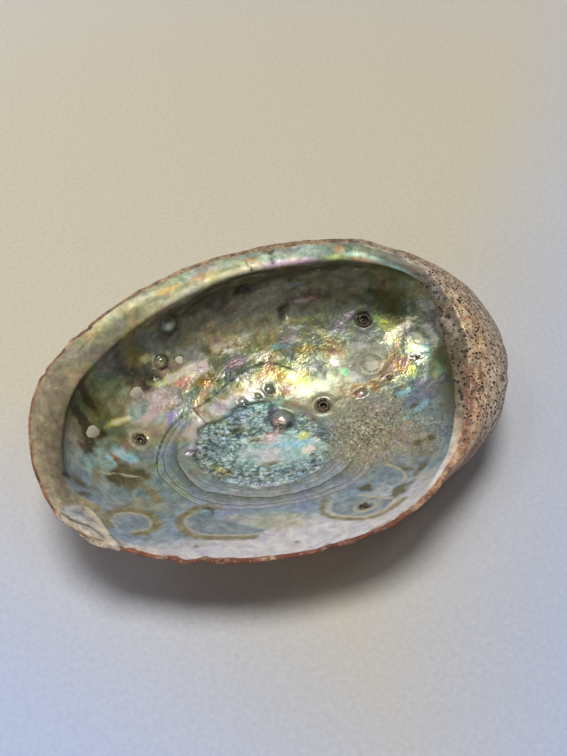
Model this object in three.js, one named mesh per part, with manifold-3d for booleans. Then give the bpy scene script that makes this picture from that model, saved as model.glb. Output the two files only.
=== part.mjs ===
// A red abalone shell lying on its back with the hollow up, grown as one piece.
// Millimetres, +Z up. The origin is on the floor, under the middle of the shell's outline.
// +X runs along the shell to its spire end. +Y points to the side with the flat ledge and the row of pores.

import * as THREE from 'three';
import { ParametricGeometry } from 'three/addons/geometries/ParametricGeometry.js';
import { mergeVertices } from 'three/addons/utils/BufferGeometryUtils.js';
import Module from 'manifold-3d';

// Driving dimensions
// Stations round the rim, anticlockwise from above. x, y and z are a point of the rim. ledge is the width of
// the rim's top, and drop how far it falls to its inner edge. swell says how far the wall leans out below the
// rim, as a share of the distance from the resting point to the rim: above 1 the back rolls out past the rim.
const RIM_STATIONS = [
  { x: 71.5, y: -27.0, z: 45.0, ledge: 10.5, drop: 3.0, swell: 1.46 }, // spire end, beside the thin lip
  { x: 81.5, y: 2.0, z: 49.5, ledge: 13.5, drop: 4.0, swell: 1.7 }, // spire end
  { x: 76.5, y: 32.0, z: 53.5, ledge: 7.5, drop: 3.0, swell: 1.68 }, // corner where the flat ledge starts
  { x: 55.5, y: 54.5, z: 56.0, ledge: 10.5, drop: 3.0, swell: 1.42 },
  { x: 25.5, y: 64.0, z: 56.5, ledge: 11.5, drop: 2.5, swell: 1.22 }, // flat ledge, the highest stretch
  { x: -5.5, y: 66.0, z: 56.0, ledge: 11.5, drop: 2.5, swell: 1.14 },
  { x: -36.5, y: 61.0, z: 54.5, ledge: 13.5, drop: 3.0, swell: 1.08 },
  { x: -65.5, y: 49.5, z: 51.5, ledge: 14.0, drop: 5.0, swell: 1.04 },
  { x: -89.5, y: 30.0, z: 48.0, ledge: 13.5, drop: 7.0, swell: 1.0 }, // front end, where the ledge slopes in
  { x: -98.0, y: -0.5, z: 43.5, ledge: 11.0, drop: 7.5, swell: 0.93 },
  { x: -90.5, y: -30.5, z: 39.5, ledge: 7.5, drop: 4.0, swell: 0.85 },
  { x: -66.5, y: -50.5, z: 37.5, ledge: 4.5, drop: 1.5, swell: 0.77 },
  { x: -37.0, y: -62.0, z: 36.5, ledge: 3.5, drop: 1.0, swell: 0.73 }, // thin outer lip
  { x: -6.5, y: -67.5, z: 37.0, ledge: 3.0, drop: 1.0, swell: 0.73 },
  { x: 24.5, y: -65.0, z: 38.0, ledge: 3.0, drop: 1.0, swell: 0.8 },
  { x: 51.5, y: -50.5, z: 41.0, ledge: 5.5, drop: 1.5, swell: 1.06 },
];
const REST_POINT = new THREE.Vector2(12, 11); // lowest point of the back, under the centre of mass
const FLOOR_HEIGHT = 6; // inside of the hollow above the resting surface, at its deepest
const WALL = 4.6; // wall thickness half way up
const WORN_DEPTH = 0.8; // how much of the back is worn flat where the shell rests
const GROUND_WIDTH = 200; // block that takes the worn part away, wider than the shell
const GROUND_DEPTH = 10;
const BELLY = 0.56; // share of the section that stays low before the wall turns up
const RISE = 0.46; // height at which the wall is fullest, as a share of the rim's height
const LEDGE_CROWN = 0.8; // rounding of the ledge's top

const SPIRE = new THREE.Vector2(60, -16); // plan position of the apex, on the back
const SPIRE_RADIUS = 17;
const SPIRE_HEIGHT = 2.6;
const SUTURE_RADIUS = 1.3; // groove that winds into the apex
const SUTURE_TURNS = 1.3;
const SUTURE_START = 21; // distance of the groove's outer end from the apex
const SUTURE_SHRINK = 0.8; // share of that distance by which it has wound in at its inner end
const SUTURE_LIFT = 0.3; // height of its axis above the back, as a share of its radius

const FIRST_PORE_DISTANCE = 138; // from the apex to the newest pore
const FIRST_PORE_BEARING = THREE.MathUtils.degToRad(165);
const PORE_STEP = THREE.MathUtils.degToRad(9.6); // turn about the apex from one pore to the next older one
const PORE_SHRINK = 0.888; // growth between two pores
const OPEN_PORE_RADII = [2.5, 2.7, 1.8];
const OPEN_PORE_AXIS = new THREE.Vector3(-0.04, -0.58, 0.81).normalize(); // they lean to the thin lip
const OPEN_PORE_LENGTH = 28; // more than the wall is thick
const CLOSED_PORES = 9;
const TUBERCLE_SIZE = 0.042; // radius of the knob round a pore, as a share of its distance from the apex
const TUBERCLE_HEIGHT = 0.35; // height of that knob as a share of its radius

const GROWTH_BANDS = 9; // ridges left by the lip, from the apex to the present lip
const GROWTH_RELIEF = 0.009; // ridge height as a share of the distance from the apex
const SMALLEST_STAGE = 0.12; // share of the present size at which the first ridge was left

const SCAR_CENTRE = new THREE.Vector2(-8, 2); // the raised patch where the muscle was fixed
const SCAR_RADII = new THREE.Vector2(27, 22);
const SCAR_RISE = 0.9;
const SCAR_TOP = 0.8; // share of its radii up to which the patch is level
const SCAR_FOOT = 1.15; // share of its radii at which its slope ends

// Blister pearls on the inside: plan position, radius and how far each stands out of the wall.
const PEARLS = [
  { x: 3.5, y: 12, radius: 4.7, height: 3.0 },
  { x: 49.5, y: 25, radius: 5.2, height: 0.7 },
  { x: -31.4, y: 53.3, radius: 4.0, height: 2.6 },
  { x: -38, y: 45, radius: 2.6, height: 2.2 },
  { x: 4, y: 27.5, radius: 2.1, height: 0.9 },
  { x: 40.5, y: 13, radius: 2.2, height: 1.0 },
  { x: -40, y: -27, radius: 2.4, height: 1.0 },
];
// Worm borings on the inside: plan position, radius of the mouth and depth.
const BORINGS = [
  { x: -55.5, y: 16, radius: 2.7, depth: 2.0 },
  { x: 23, y: 13.5, radius: 3.4, depth: 1.8 },
  { x: 53, y: 43, radius: 3.9, depth: 1.6 },
  { x: 17, y: -48, radius: 2.6, depth: 1.8 },
];
const BORING_TAPER = 0.7; // width of a boring's bottom as a share of its mouth

// Steps of the mesh and of the searches on it
const STEPS_AROUND = 88;
const BACK_STEPS = 20;
const LEDGE_STEPS = 3;
const HOLLOW_STEPS = 17;
const SECTION_STEPS = BACK_STEPS + LEDGE_STEPS + HOLLOW_STEPS;
const HOLE_SIDES = 10;
const KNOB_SIDES = 8;
const KNOB_RINGS = 6;
const SUTURE_POINTS = 26;
const SUTURE_STEPS = 30;
const SUTURE_HALF_SIDES = 3;
const STAGE_STEPS = 24;
const SEARCH_STEPS = 22;
const SAME_CORNER = 1e-3; // corners closer than this are one

const wasm = await Module();
wasm.setup();

// The rim, and the ledge, drop and swell that go with each point of it, run smoothly through the stations.
function roundRim(points) {
  return new THREE.CatmullRomCurve3(points, true, 'catmullrom', 0.5);
}
const rim = roundRim(RIM_STATIONS.map((s) => new THREE.Vector3(s.x, s.y, s.z)));
const lip = roundRim(RIM_STATIONS.map((s) => new THREE.Vector3(s.ledge, s.drop, s.swell)));

// The upright section from the resting point to the rim, in distance and height: back, ledge and hollow.
function sectionAt(turn) {
  const rimPoint = rim.getPoint(turn);
  const { x: ledgeWidth, y: drop, z: swell } = lip.getPoint(turn);
  const outward = new THREE.Vector2(rimPoint.x, rimPoint.y).sub(REST_POINT);
  const reach = outward.length();
  const height = rimPoint.z;
  const edge = new THREE.Vector2(reach - ledgeWidth, height - drop);
  const crown = new THREE.Vector2(reach - ledgeWidth / 2, height - drop / 2 + LEDGE_CROWN * 2);
  const hollowRise = FLOOR_HEIGHT + RISE * (edge.y - FLOOR_HEIGHT);
  const back = new THREE.CubicBezierCurve(
    new THREE.Vector2(0, -WORN_DEPTH),
    new THREE.Vector2(BELLY * reach, -WORN_DEPTH),
    new THREE.Vector2(swell * reach, RISE * height),
    new THREE.Vector2(reach, height),
  );
  const hollow = new THREE.CubicBezierCurve(
    new THREE.Vector2(0, FLOOR_HEIGHT),
    new THREE.Vector2(BELLY * reach - WALL / 2, FLOOR_HEIGHT),
    new THREE.Vector2(swell * reach - WALL, hollowRise),
    edge,
  );
  const ledge = new THREE.QuadraticBezierCurve(new THREE.Vector2(reach, height), crown, edge);
  return { outward: outward.normalize(), back, ledge, hollow };
}

// A point of the section's plane, given as distance and height, in space.
function inSpace(section, point) {
  const plan = REST_POINT.clone().addScaledVector(section.outward, point.x);
  return new THREE.Vector3(plan.x, plan.y, point.y);
}

// The direction that leaves the solid at a point of the back or the hollow, in the section's plane.
function leavingAt(section, face, along) {
  const { x, y } = section[face].getTangent(along);
  return face === 'back' ? new THREE.Vector2(y, -x) : new THREE.Vector2(-y, x);
}

// Halves an interval until it closes on the place where reached() turns true.
function closeOn(low, high, reached) {
  for (let step = 0; step < SEARCH_STEPS; step += 1) {
    const middle = (low + high) / 2;
    if (reached(middle)) {
      high = middle;
    } else {
      low = middle;
    }
  }
  return (low + high) / 2;
}

function bearingFrom(centre, x, y) {
  return Math.atan2(y - centre.y, x - centre.x);
}

function wrapTurn(angle) {
  return THREE.MathUtils.euclideanModulo(angle, 2 * Math.PI);
}

// The turn along the rim that lies in a given direction from a centre inside it.
function turnTowards(centre, bearing) {
  const start = rim.getPoint(0);
  const startBearing = bearingFrom(centre, start.x, start.y);
  const wanted = wrapTurn(bearing - startBearing);
  return closeOn(0, 1, (turn) => {
    const point = rim.getPoint(turn);
    return turn > 0 && wrapTurn(bearingFrom(centre, point.x, point.y) - startBearing) > wanted;
  });
}

// The place on a face above or below a plan position, and the direction that leaves the solid there.
function place(face, x, y) {
  const section = sectionAt(turnTowards(REST_POINT, bearingFrom(REST_POINT, x, y)));
  const distance = Math.hypot(x - REST_POINT.x, y - REST_POINT.y);
  const along = closeOn(0, 1, (share) => section[face].getPoint(share).x > distance);
  const leaving = leavingAt(section, face, along);
  const normal = new THREE.Vector3(section.outward.x * leaving.x, section.outward.y * leaving.x, leaving.y);
  return { point: inSpace(section, section[face].getPoint(along)), normal };
}

const apex = place('back', SPIRE.x, SPIRE.y).point;

// How large the shell was when its lip passed a point of the back, as a share of its present size. The lip's
// outline grew about the apex, and turned about it at the same rate as the row of pores.
const TURN_PER_GROWTH = PORE_STEP / Math.log(1 / PORE_SHRINK);
function growthStage(point) {
  const distance = point.distanceTo(apex);
  const bearing = bearingFrom(SPIRE, point.x, point.y);
  const lipReached = (stage) => {
    const turn = turnTowards(SPIRE, bearing - TURN_PER_GROWTH * Math.log(stage));
    return stage * rim.getPoint(turn).distanceTo(apex) > distance;
  };
  const stageAt = (step) => SMALLEST_STAGE ** (1 - step / STAGE_STEPS);
  for (let step = 1; step <= STAGE_STEPS; step += 1) {
    if (lipReached(stageAt(step))) {
      return closeOn(stageAt(step - 1), stageAt(step), lipReached);
    }
  }
  return 1;
}

function spireRelief(distance) {
  return SPIRE_HEIGHT * Math.exp(-((distance / SPIRE_RADIUS) ** 2));
}

// How far the back stands out: growth ridges that fade towards the rim and the resting point, and the spire.
function backRelief(point, along) {
  const distance = point.distanceTo(apex);
  const fade = Math.sin(Math.PI * along);
  const ridge = Math.cos(2 * Math.PI * GROWTH_BANDS * growthStage(point));
  return fade * GROWTH_RELIEF * distance * ridge + spireRelief(distance);
}

// How far the floor of the hollow stands up: the muscle's patch, with a soft edge.
function hollowRelief(point) {
  const offset = new THREE.Vector2(point.x, point.y).sub(SCAR_CENTRE).divide(SCAR_RADII).length();
  return SCAR_RISE * (1 - THREE.MathUtils.smoothstep(offset, SCAR_TOP, SCAR_FOOT));
}

// The whole skin, as a sheet wrapped once round the rim: up the back, over the ledge and into the hollow.
function skinPoint(turn, share, target) {
  const section = sectionAt(turn % 1);
  const step = share * SECTION_STEPS;
  if (step > BACK_STEPS && step < BACK_STEPS + LEDGE_STEPS) {
    target.copy(inSpace(section, section.ledge.getPoint((step - BACK_STEPS) / LEDGE_STEPS)));
    return;
  }
  const face = step <= BACK_STEPS ? 'back' : 'hollow';
  const along = face === 'back' ? step / BACK_STEPS : (SECTION_STEPS - step) / HOLLOW_STEPS;
  const flat = section[face].getPoint(along);
  const base = inSpace(section, flat);
  const relief = face === 'back' ? backRelief(base, along) : hollowRelief(base);
  target.copy(inSpace(section, flat.addScaledVector(leavingAt(section, face, along), relief)));
}

// A closed geometry as a solid that can be joined and cut: corners merged, triangles with no area left out.
function solidFrom(geometry) {
  const bare = geometry.clone();
  bare.deleteAttribute('normal');
  bare.deleteAttribute('uv');
  const merged = mergeVertices(bare, SAME_CORNER);
  const corners = [];
  for (let i = 0; i < merged.index.count; i += 3) {
    const [a, b, c] = [0, 1, 2].map((k) => merged.index.getX(i + k));
    if (a !== b && b !== c && c !== a) {
      corners.push(a, b, c);
    }
  }
  const vertProperties = Float32Array.from(merged.attributes.position.array);
  const triVerts = Uint32Array.from(corners);
  return new wasm.Manifold(new wasm.Mesh({ numProp: 3, vertProperties, triVerts }));
}

// A geometry with its Y axis turned along a place's normal and its middle moved out of the wall by a height.
function standOn(geometry, { point, normal }, height) {
  const turned = new THREE.Quaternion().setFromUnitVectors(new THREE.Vector3(0, 1, 0), normal);
  const middle = point.clone().addScaledVector(normal, height);
  return solidFrom(geometry.applyQuaternion(turned).translate(middle.x, middle.y, middle.z));
}

// A low round knob on a face: a flattened ball twice as tall as it stands out, sunk by its height.
function knob(face, x, y, radius, height) {
  const ball = new THREE.SphereGeometry(1, KNOB_SIDES, KNOB_RINGS).scale(radius, height * 2, radius);
  return standOn(ball, place(face, x, y), -height);
}

function poreAt(index) {
  const distance = FIRST_PORE_DISTANCE * PORE_SHRINK ** index;
  const bearing = FIRST_PORE_BEARING - PORE_STEP * index;
  return {
    x: SPIRE.x + distance * Math.cos(bearing),
    y: SPIRE.y + distance * Math.sin(bearing),
    size: TUBERCLE_SIZE * distance,
  };
}

// The groove between the whorls, a thin tube wound on the back into the apex.
function suture() {
  const points = [];
  for (let i = 0; i <= SUTURE_POINTS; i += 1) {
    const share = i / SUTURE_POINTS;
    const bearing = FIRST_PORE_BEARING - share * SUTURE_TURNS * 2 * Math.PI;
    const distance = SUTURE_START * (1 - SUTURE_SHRINK * share);
    const x = SPIRE.x + distance * Math.cos(bearing);
    const y = SPIRE.y + distance * Math.sin(bearing);
    const { point, normal } = place('back', x, y);
    points.push(point.addScaledVector(normal, spireRelief(distance) + SUTURE_RADIUS * SUTURE_LIFT));
  }
  const round = new THREE.Shape().absarc(0, 0, SUTURE_RADIUS, 0, 2 * Math.PI);
  const options = {
    steps: SUTURE_STEPS,
    curveSegments: SUTURE_HALF_SIDES,
    extrudePath: new THREE.CatmullRomCurve3(points),
  };
  return solidFrom(new THREE.ExtrudeGeometry(round, options));
}

function buildShell() {
  let shell = solidFrom(new ParametricGeometry(skinPoint, STEPS_AROUND, SECTION_STEPS));
  for (let i = 0; i < OPEN_PORE_RADII.length + CLOSED_PORES; i += 1) {
    const { x, y, size } = poreAt(i);
    shell = shell.add(knob('back', x, y, size, size * TUBERCLE_HEIGHT));
  }
  for (const { x, y, radius, height } of PEARLS) {
    shell = shell.add(knob('hollow', x, y, radius, height));
  }
  OPEN_PORE_RADII.forEach((radius, i) => {
    const { x, y } = poreAt(i);
    const { point } = place('hollow', x, y);
    const drill = new THREE.CylinderGeometry(radius, radius, OPEN_PORE_LENGTH, HOLE_SIDES);
    shell = shell.subtract(standOn(drill, { point, normal: OPEN_PORE_AXIS }, 0));
  });
  for (const { x, y, radius, depth } of BORINGS) {
    const drill = new THREE.CylinderGeometry(radius, radius * BORING_TAPER, depth * 2, HOLE_SIDES);
    shell = shell.subtract(standOn(drill, place('hollow', x, y), 0));
  }
  const ground = new THREE.BoxGeometry(GROUND_WIDTH, GROUND_WIDTH, GROUND_DEPTH);
  ground.translate(0, 0, -GROUND_DEPTH / 2);
  return shell.subtract(suture()).subtract(solidFrom(ground));
}

function geometryFrom(solid) {
  const { vertProperties, triVerts } = solid.getMesh();
  const geometry = new THREE.BufferGeometry();
  geometry.setAttribute('position', new THREE.BufferAttribute(vertProperties, 3));
  geometry.setIndex(new THREE.BufferAttribute(triVerts, 1));
  geometry.computeVertexNormals();
  return geometry;
}

const nacre = new THREE.MeshStandardMaterial({ color: 0xa9ada0, roughness: 0.35, metalness: 0.1 });
const shell = new THREE.Mesh(geometryFrom(buildShell()), nacre);
shell.name = 'shell';

const abalone = new THREE.Group();
abalone.add(shell);

export default abalone;
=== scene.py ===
import math

import bmesh
import bpy
import numpy as np
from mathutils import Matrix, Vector, kdtree, noise


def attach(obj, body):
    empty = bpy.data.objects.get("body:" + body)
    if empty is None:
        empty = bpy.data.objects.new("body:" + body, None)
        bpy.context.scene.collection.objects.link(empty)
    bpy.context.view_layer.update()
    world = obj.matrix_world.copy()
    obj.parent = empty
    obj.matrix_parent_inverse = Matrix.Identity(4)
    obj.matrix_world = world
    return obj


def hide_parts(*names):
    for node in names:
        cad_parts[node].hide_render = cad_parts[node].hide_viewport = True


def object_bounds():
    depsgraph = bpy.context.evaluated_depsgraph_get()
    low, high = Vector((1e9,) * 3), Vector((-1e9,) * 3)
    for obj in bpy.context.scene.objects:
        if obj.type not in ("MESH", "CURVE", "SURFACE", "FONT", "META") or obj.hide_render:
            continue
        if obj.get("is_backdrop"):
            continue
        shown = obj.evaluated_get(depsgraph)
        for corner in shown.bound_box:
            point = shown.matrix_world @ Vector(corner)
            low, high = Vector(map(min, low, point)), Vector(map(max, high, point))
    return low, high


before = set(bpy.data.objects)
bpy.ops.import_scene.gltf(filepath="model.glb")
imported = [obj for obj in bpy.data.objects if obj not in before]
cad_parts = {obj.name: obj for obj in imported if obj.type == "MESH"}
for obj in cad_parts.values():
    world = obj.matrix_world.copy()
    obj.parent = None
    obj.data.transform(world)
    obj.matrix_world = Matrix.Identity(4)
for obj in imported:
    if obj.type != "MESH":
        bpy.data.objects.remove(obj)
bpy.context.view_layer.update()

# Shell form
# A red abalone shell, one grown piece of calcite and nacre, lying on its back with the hollow up.
# Upright sections run from the resting point up the back, over the rim's flat top and down into the hollow.
MM = 0.001
# Stations round the rim, anticlockwise from above, in millimetres. Each has a point of the rim (x, y, z), the
# width of the rim's top (ledge), how far it falls to its inner edge (drop), how far the wall leans out below
# the rim as a share of the distance from the resting point (swell), and the width of bare crust (strip).
STATIONS = np.array([
    (71.5, -27.0, 45.0, 10.5, 3.0, 1.46, 4.2),  # spire end, beside the thin lip
    (81.5, 2.0, 49.5, 13.5, 4.0, 1.70, 3.8),  # spire end
    (76.5, 32.0, 53.5, 7.5, 3.0, 1.68, 2.2),  # corner where the flat ledge starts
    (55.5, 54.5, 56.0, 10.5, 3.0, 1.42, 2.4),
    (25.5, 64.0, 56.5, 11.5, 2.5, 1.22, 3.2),  # flat ledge, the highest stretch
    (-5.5, 66.0, 56.0, 11.5, 2.5, 1.14, 2.6),
    (-36.5, 61.0, 54.5, 13.5, 3.0, 1.08, 2.4),
    (-65.5, 49.5, 51.5, 14.0, 5.0, 1.04, 1.8),
    (-89.5, 30.0, 48.0, 13.5, 7.0, 1.00, 1.2),  # front end, where the ledge slopes in
    (-98.0, -0.5, 43.5, 11.0, 7.5, 0.93, 1.2),
    (-90.5, -30.5, 39.5, 7.5, 4.0, 0.85, 1.4),
    (-66.5, -50.5, 37.5, 4.5, 1.5, 0.77, 2.2),
    (-37.0, -62.0, 36.5, 3.5, 1.0, 0.73, 2.2),  # thin outer lip
    (-6.5, -67.5, 37.0, 3.0, 1.0, 0.73, 2.0),
    (24.5, -65.0, 38.0, 3.0, 1.0, 0.80, 2.0),
    (51.5, -50.5, 41.0, 5.5, 1.5, 1.06, 2.6),
])
REST_POINT = np.array([12.0, 11.0])  # lowest point of the back
FLOOR_HEIGHT = 6.0  # inside of the hollow, at its deepest
WALL = 4.6  # thickness half way up
WORN_DEPTH = 0.8  # how much of the back is worn flat where the shell rests
BELLY = 0.56  # share of the section that stays low before the wall turns up
RISE = 0.46  # height at which the wall is fullest, as a share of the rim's height
LEDGE_CROWN = 0.8  # rounding of the ledge's top
# The mesh's steps. Those of the back lie closer together towards the rim, where the back is seen.
AROUND = 500
BACK_STEPS = 58
STRIP_STEPS = 6
LEDGE_STEPS = 14
HOLLOW_STEPS = 104
BACK_CROWDING = 1.35
CORNER_REACH = 3  # rows on each side of a corner that are worn round
CORNER_PASSES = 6
FAR_OFF = 1e3  # a distance in millimetres that nothing reaches


def round_and_round(values, turn):
    """Runs smoothly through values that stand at even steps of one turn."""
    count = len(values)
    step = np.asarray(turn) % 1.0 * count
    first = np.floor(step).astype(int)
    part = step - first
    a, b, c, d = (values[(first + k) % count] for k in (-1, 0, 1, 2))
    if values.ndim > 1:
        part = part[..., None]
    square = 2 * a - 5 * b + 4 * c - d
    cube = 3 * b - a - 3 * c + d
    return 0.5 * (2 * b + (c - a) * part + square * part**2 + cube * part**3)


def bezier(share, *points):
    """A curve over control points, each given as distance and height arrays."""
    while len(points) > 1:
        points = [tuple(p + (q - p) * share for p, q in zip(a, b)) for a, b in zip(points, points[1:])]
    return np.stack(np.broadcast_arrays(*points[0]), -1)


turn = np.arange(AROUND)[:, None] / AROUND
rim_x, rim_y, rim_z, ledge, drop, swell, strip = np.moveaxis(round_and_round(STATIONS, turn), -1, 0)
outward = np.stack([rim_x - REST_POINT[0], rim_y - REST_POINT[1]], -1)
reach = np.linalg.norm(outward, axis=-1)
outward = outward / reach[..., None]

back_along = 1 - (1 - np.arange(1, BACK_STEPS + 1) / BACK_STEPS) ** BACK_CROWDING
strip_along = np.arange(1, STRIP_STEPS + 1) / STRIP_STEPS * strip / ledge
ledge_along = strip / ledge + np.arange(1, LEDGE_STEPS + 1) / LEDGE_STEPS * (1 - strip / ledge)
hollow_along = 1 - np.arange(1, HOLLOW_STEPS) / HOLLOW_STEPS

edge_reach = reach - ledge
edge_z = rim_z - drop
back = bezier(back_along, (0.0, -WORN_DEPTH), (BELLY * reach, -WORN_DEPTH), (swell * reach, RISE * rim_z),
              (reach, rim_z))
top = bezier(np.concatenate([strip_along, ledge_along], 1), (reach, rim_z),
             (reach - ledge / 2, rim_z - drop / 2 + 2 * LEDGE_CROWN), (edge_reach, edge_z))
hollow = bezier(hollow_along, (0.0, FLOOR_HEIGHT), (BELLY * reach - WALL / 2, FLOOR_HEIGHT),
                (swell * reach - WALL, FLOOR_HEIGHT + RISE * (edge_z - FLOOR_HEIGHT)), (edge_reach, edge_z))
section = np.concatenate([back, top, hollow], 1)

# Rows of the sheet, from the middle of the back to the middle of the hollow.
ROWS = section.shape[1]
row = np.arange(ROWS)
rim_row = BACK_STEPS - 1
strip_row = rim_row + STRIP_STEPS
edge_row = strip_row + LEDGE_STEPS
on_back = row <= rim_row
in_hollow = row > edge_row

# The rim and the ledge's inner edge are worn round.
for worn_row in (rim_row, edge_row):
    rows = slice(worn_row - CORNER_REACH, worn_row + CORNER_REACH + 1)
    before = slice(rows.start - 1, rows.stop - 1)
    after = slice(rows.start + 1, rows.stop + 1)
    for _ in range(CORNER_PASSES):
        section[:, rows] = (section[:, before] + 2 * section[:, rows] + section[:, after]) / 4

form = np.empty((AROUND, ROWS, 3))
form[..., :2] = REST_POINT + outward * section[..., :1]
form[..., 2] = section[..., 1]


def leaving(sheet):
    """The direction that leaves the shell at each point of the sheet."""
    across = np.roll(sheet, -1, 0) - np.roll(sheet, 1, 0)
    up = np.gradient(sheet, axis=1)
    normal = np.cross(across, up)
    return normal / np.maximum(np.linalg.norm(normal, axis=-1, keepdims=True), 1e-9)


def smooth_step(low, high, value):
    share = np.clip((value - low) / (high - low), 0, 1)
    return share * share * (3 - 2 * share)


def bell(value, width):
    return np.exp(-((value / width) ** 2))


def lumps(points, size, seed):
    """Soft random swelling between -1 and 1 over points in millimetres, with lumps of about that size."""
    shift = Vector((17.3, 5.1, 9.7)) * seed
    flat = points.reshape(-1, 3) / size
    return np.array([noise.noise(Vector(p) + shift) for p in flat]).reshape(points.shape[:-1])


def layered(points, *layers):
    """Swellings laid on one another, each given as its height, the size of its lumps and its seed."""
    return sum(height * lumps(points, size, seed) for height, size, seed in layers)


# Chips and waves of the rim: turn round the rim, width as a share of a turn, and millimetres out and up.
RIM_CHIPS = [
    (0.723, 0.0045, -1.8, -1.0),  # broken notch in the thin lip
    (0.712, 0.0050, 0.9, 0.3),
    (0.700, 0.0060, -0.7, -0.4),
    (0.672, 0.0040, -1.2, -0.9),  # end of the flaked corner
    (0.648, 0.0100, 1.0, 0.2),
    (0.627, 0.0060, -0.9, -0.7),
    (0.611, 0.0050, 0.8, 0.3),
    (0.487, 0.0030, -0.8, -0.4),
    (0.452, 0.0030, 0.7, 0.2),
    (0.437, 0.0025, -0.7, -0.3),
    (0.818, 0.0080, -0.6, -0.3),
    (0.765, 0.0120, 0.6, 0.1),
]
RIM_FADE = 5.0  # how far from the rim they reach
RIM_WAVE = 9.0
RIM_RIPPLE = 0.45
rim_line = np.stack([rim_x, rim_y, rim_z], -1)
near_rim = bell(np.linalg.norm(form - rim_line, axis=-1), RIM_FADE)
chip_out = RIM_RIPPLE * lumps(rim_line, RIM_WAVE, 1)
chip_up = RIM_RIPPLE * lumps(rim_line, RIM_WAVE, 2)
for chip_turn, width, out, up in RIM_CHIPS:
    share = bell((turn - chip_turn + 0.5) % 1 - 0.5, width)
    chip_out = chip_out + out * share
    chip_up = chip_up + up * share
form[..., :2] += (near_rim * chip_out)[..., None] * outward
form[..., 2] += near_rim * chip_up

# Spire, growth ridges and closed pores of the back.
SPIRE = np.array([60.0, -16.0])
SPIRE_RADIUS = 17.0
SPIRE_HEIGHT = 2.6
SUTURE_TURNS = 1.3
SUTURE_START = 21.0
SUTURE_SHRINK = 0.8
SUTURE_WIDTH = 1.5
SUTURE_DEPTH = 1.2
SUTURE_POINTS = 160
SUTURE_MARGIN = 6.0  # how far beyond its start the groove is looked for
FIRST_PORE_DISTANCE = 138.0
FIRST_PORE_BEARING = math.radians(165)
PORE_STEP = math.radians(9.6)
PORE_SHRINK = 0.888
OPEN_PORE_RADII = (2.5, 2.7, 1.8)
CLOSED_PORES = 9
KNOB_SIZE = 0.042  # radius as a share of the pore's distance from the apex
KNOB_HEIGHT = 0.35  # as a share of that radius
KNOB_FOOT = 0.25  # height of the soft foot round a knob, and its reach in radii
KNOB_FOOT_REACH = 1.3
KNOB_CLEARANCE = 2.0  # knobs stop this far under the rim
GROWTH_BANDS = 9
GROWTH_RELIEF = 0.009  # ridges and threads, as a share of the distance from the apex
THREADS_IN_BAND = 7
THREAD_RELIEF = 0.0012
SMALLEST_STAGE = 0.12
STAGE_STEPS = 24
HALVINGS = 18

back_form = form[:, on_back]
apex_turn, apex_row = np.unravel_index(
    np.argmin(np.linalg.norm(back_form[..., :2] - SPIRE, axis=-1)), back_form.shape[:2])
apex = back_form[apex_turn, apex_row]
from_apex = np.linalg.norm(back_form - apex, axis=-1)
apex_bearing = np.arctan2(back_form[..., 1] - SPIRE[1], back_form[..., 0] - SPIRE[0])
rim_bearing = np.unwrap(np.arctan2(rim_y[:, 0] - SPIRE[1], rim_x[:, 0] - SPIRE[0]))
rim_distance = np.linalg.norm(rim_line[:, 0] - apex, axis=-1)
turn_per_growth = PORE_STEP / math.log(1 / PORE_SHRINK)


def lip_reached(stage):
    """Whether the lip had passed each point of the back when the shell was that share of its size."""
    bearing = apex_bearing - turn_per_growth * np.log(stage)
    wrapped = (bearing - rim_bearing[0]) % (2 * math.pi) + rim_bearing[0]
    return stage * np.interp(wrapped, rim_bearing, rim_distance, period=2 * math.pi) > from_apex


stages = SMALLEST_STAGE ** (1 - np.arange(STAGE_STEPS + 1) / STAGE_STEPS)
low = np.full(from_apex.shape, stages[0])
high = np.ones(from_apex.shape)
found = np.zeros(from_apex.shape, bool)
for earlier, later in zip(stages, stages[1:]):
    now = lip_reached(later) & ~found
    low[now] = earlier
    high[now] = later
    found |= now
low[~found] = 1.0
for _ in range(HALVINGS):
    middle = (low + high) / 2
    passed = lip_reached(middle)
    high = np.where(passed, middle, high)
    low = np.where(passed, low, middle)
stage = (low + high) / 2


def pore(index):
    """Plan position of a pore and its distance from the apex, the newest pore first."""
    distance = FIRST_PORE_DISTANCE * PORE_SHRINK**index
    bearing = FIRST_PORE_BEARING - PORE_STEP * index
    return SPIRE + distance * np.array([math.cos(bearing), math.sin(bearing)]), distance


fade = np.sin(math.pi * back_along)
ridges = np.cos(2 * math.pi * GROWTH_BANDS * stage)
threads = np.cos(2 * math.pi * THREADS_IN_BAND * GROWTH_BANDS * stage)
back_relief = fade * from_apex * (GROWTH_RELIEF * ridges + THREAD_RELIEF * threads)
back_relief += SPIRE_HEIGHT * bell(from_apex, SPIRE_RADIUS)
back_relief += layered(back_form, (0.55, 13, 3), (0.3, 5, 4))
for i in range(len(OPEN_PORE_RADII) + CLOSED_PORES):
    centre, distance = pore(i)
    off = np.linalg.norm(back_form[..., :2] - centre, axis=-1) / (KNOB_SIZE * distance)
    dome = np.sqrt(np.clip(1 - off**2, 0, 1)) + KNOB_FOOT * bell(off, KNOB_FOOT_REACH)
    back_relief += KNOB_HEIGHT * KNOB_SIZE * distance * dome * (back_form[..., 2] < rim_z - KNOB_CLEARANCE)
suture_share = np.linspace(0, 1, SUTURE_POINTS)
suture_bearing = FIRST_PORE_BEARING - suture_share * SUTURE_TURNS * 2 * math.pi
suture_distance = SUTURE_START * (1 - SUTURE_SHRINK * suture_share)
suture = SPIRE + suture_distance[:, None] * np.stack([np.cos(suture_bearing), np.sin(suture_bearing)], -1)
near_spire = from_apex < SUTURE_START + SUTURE_MARGIN
groove = np.full(from_apex.shape, FAR_OFF)
groove[near_spire] = np.min(np.linalg.norm(back_form[near_spire][:, None, :2] - suture, axis=-1), axis=1)
back_relief -= SUTURE_DEPTH * bell(groove, SUTURE_WIDTH)

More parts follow.
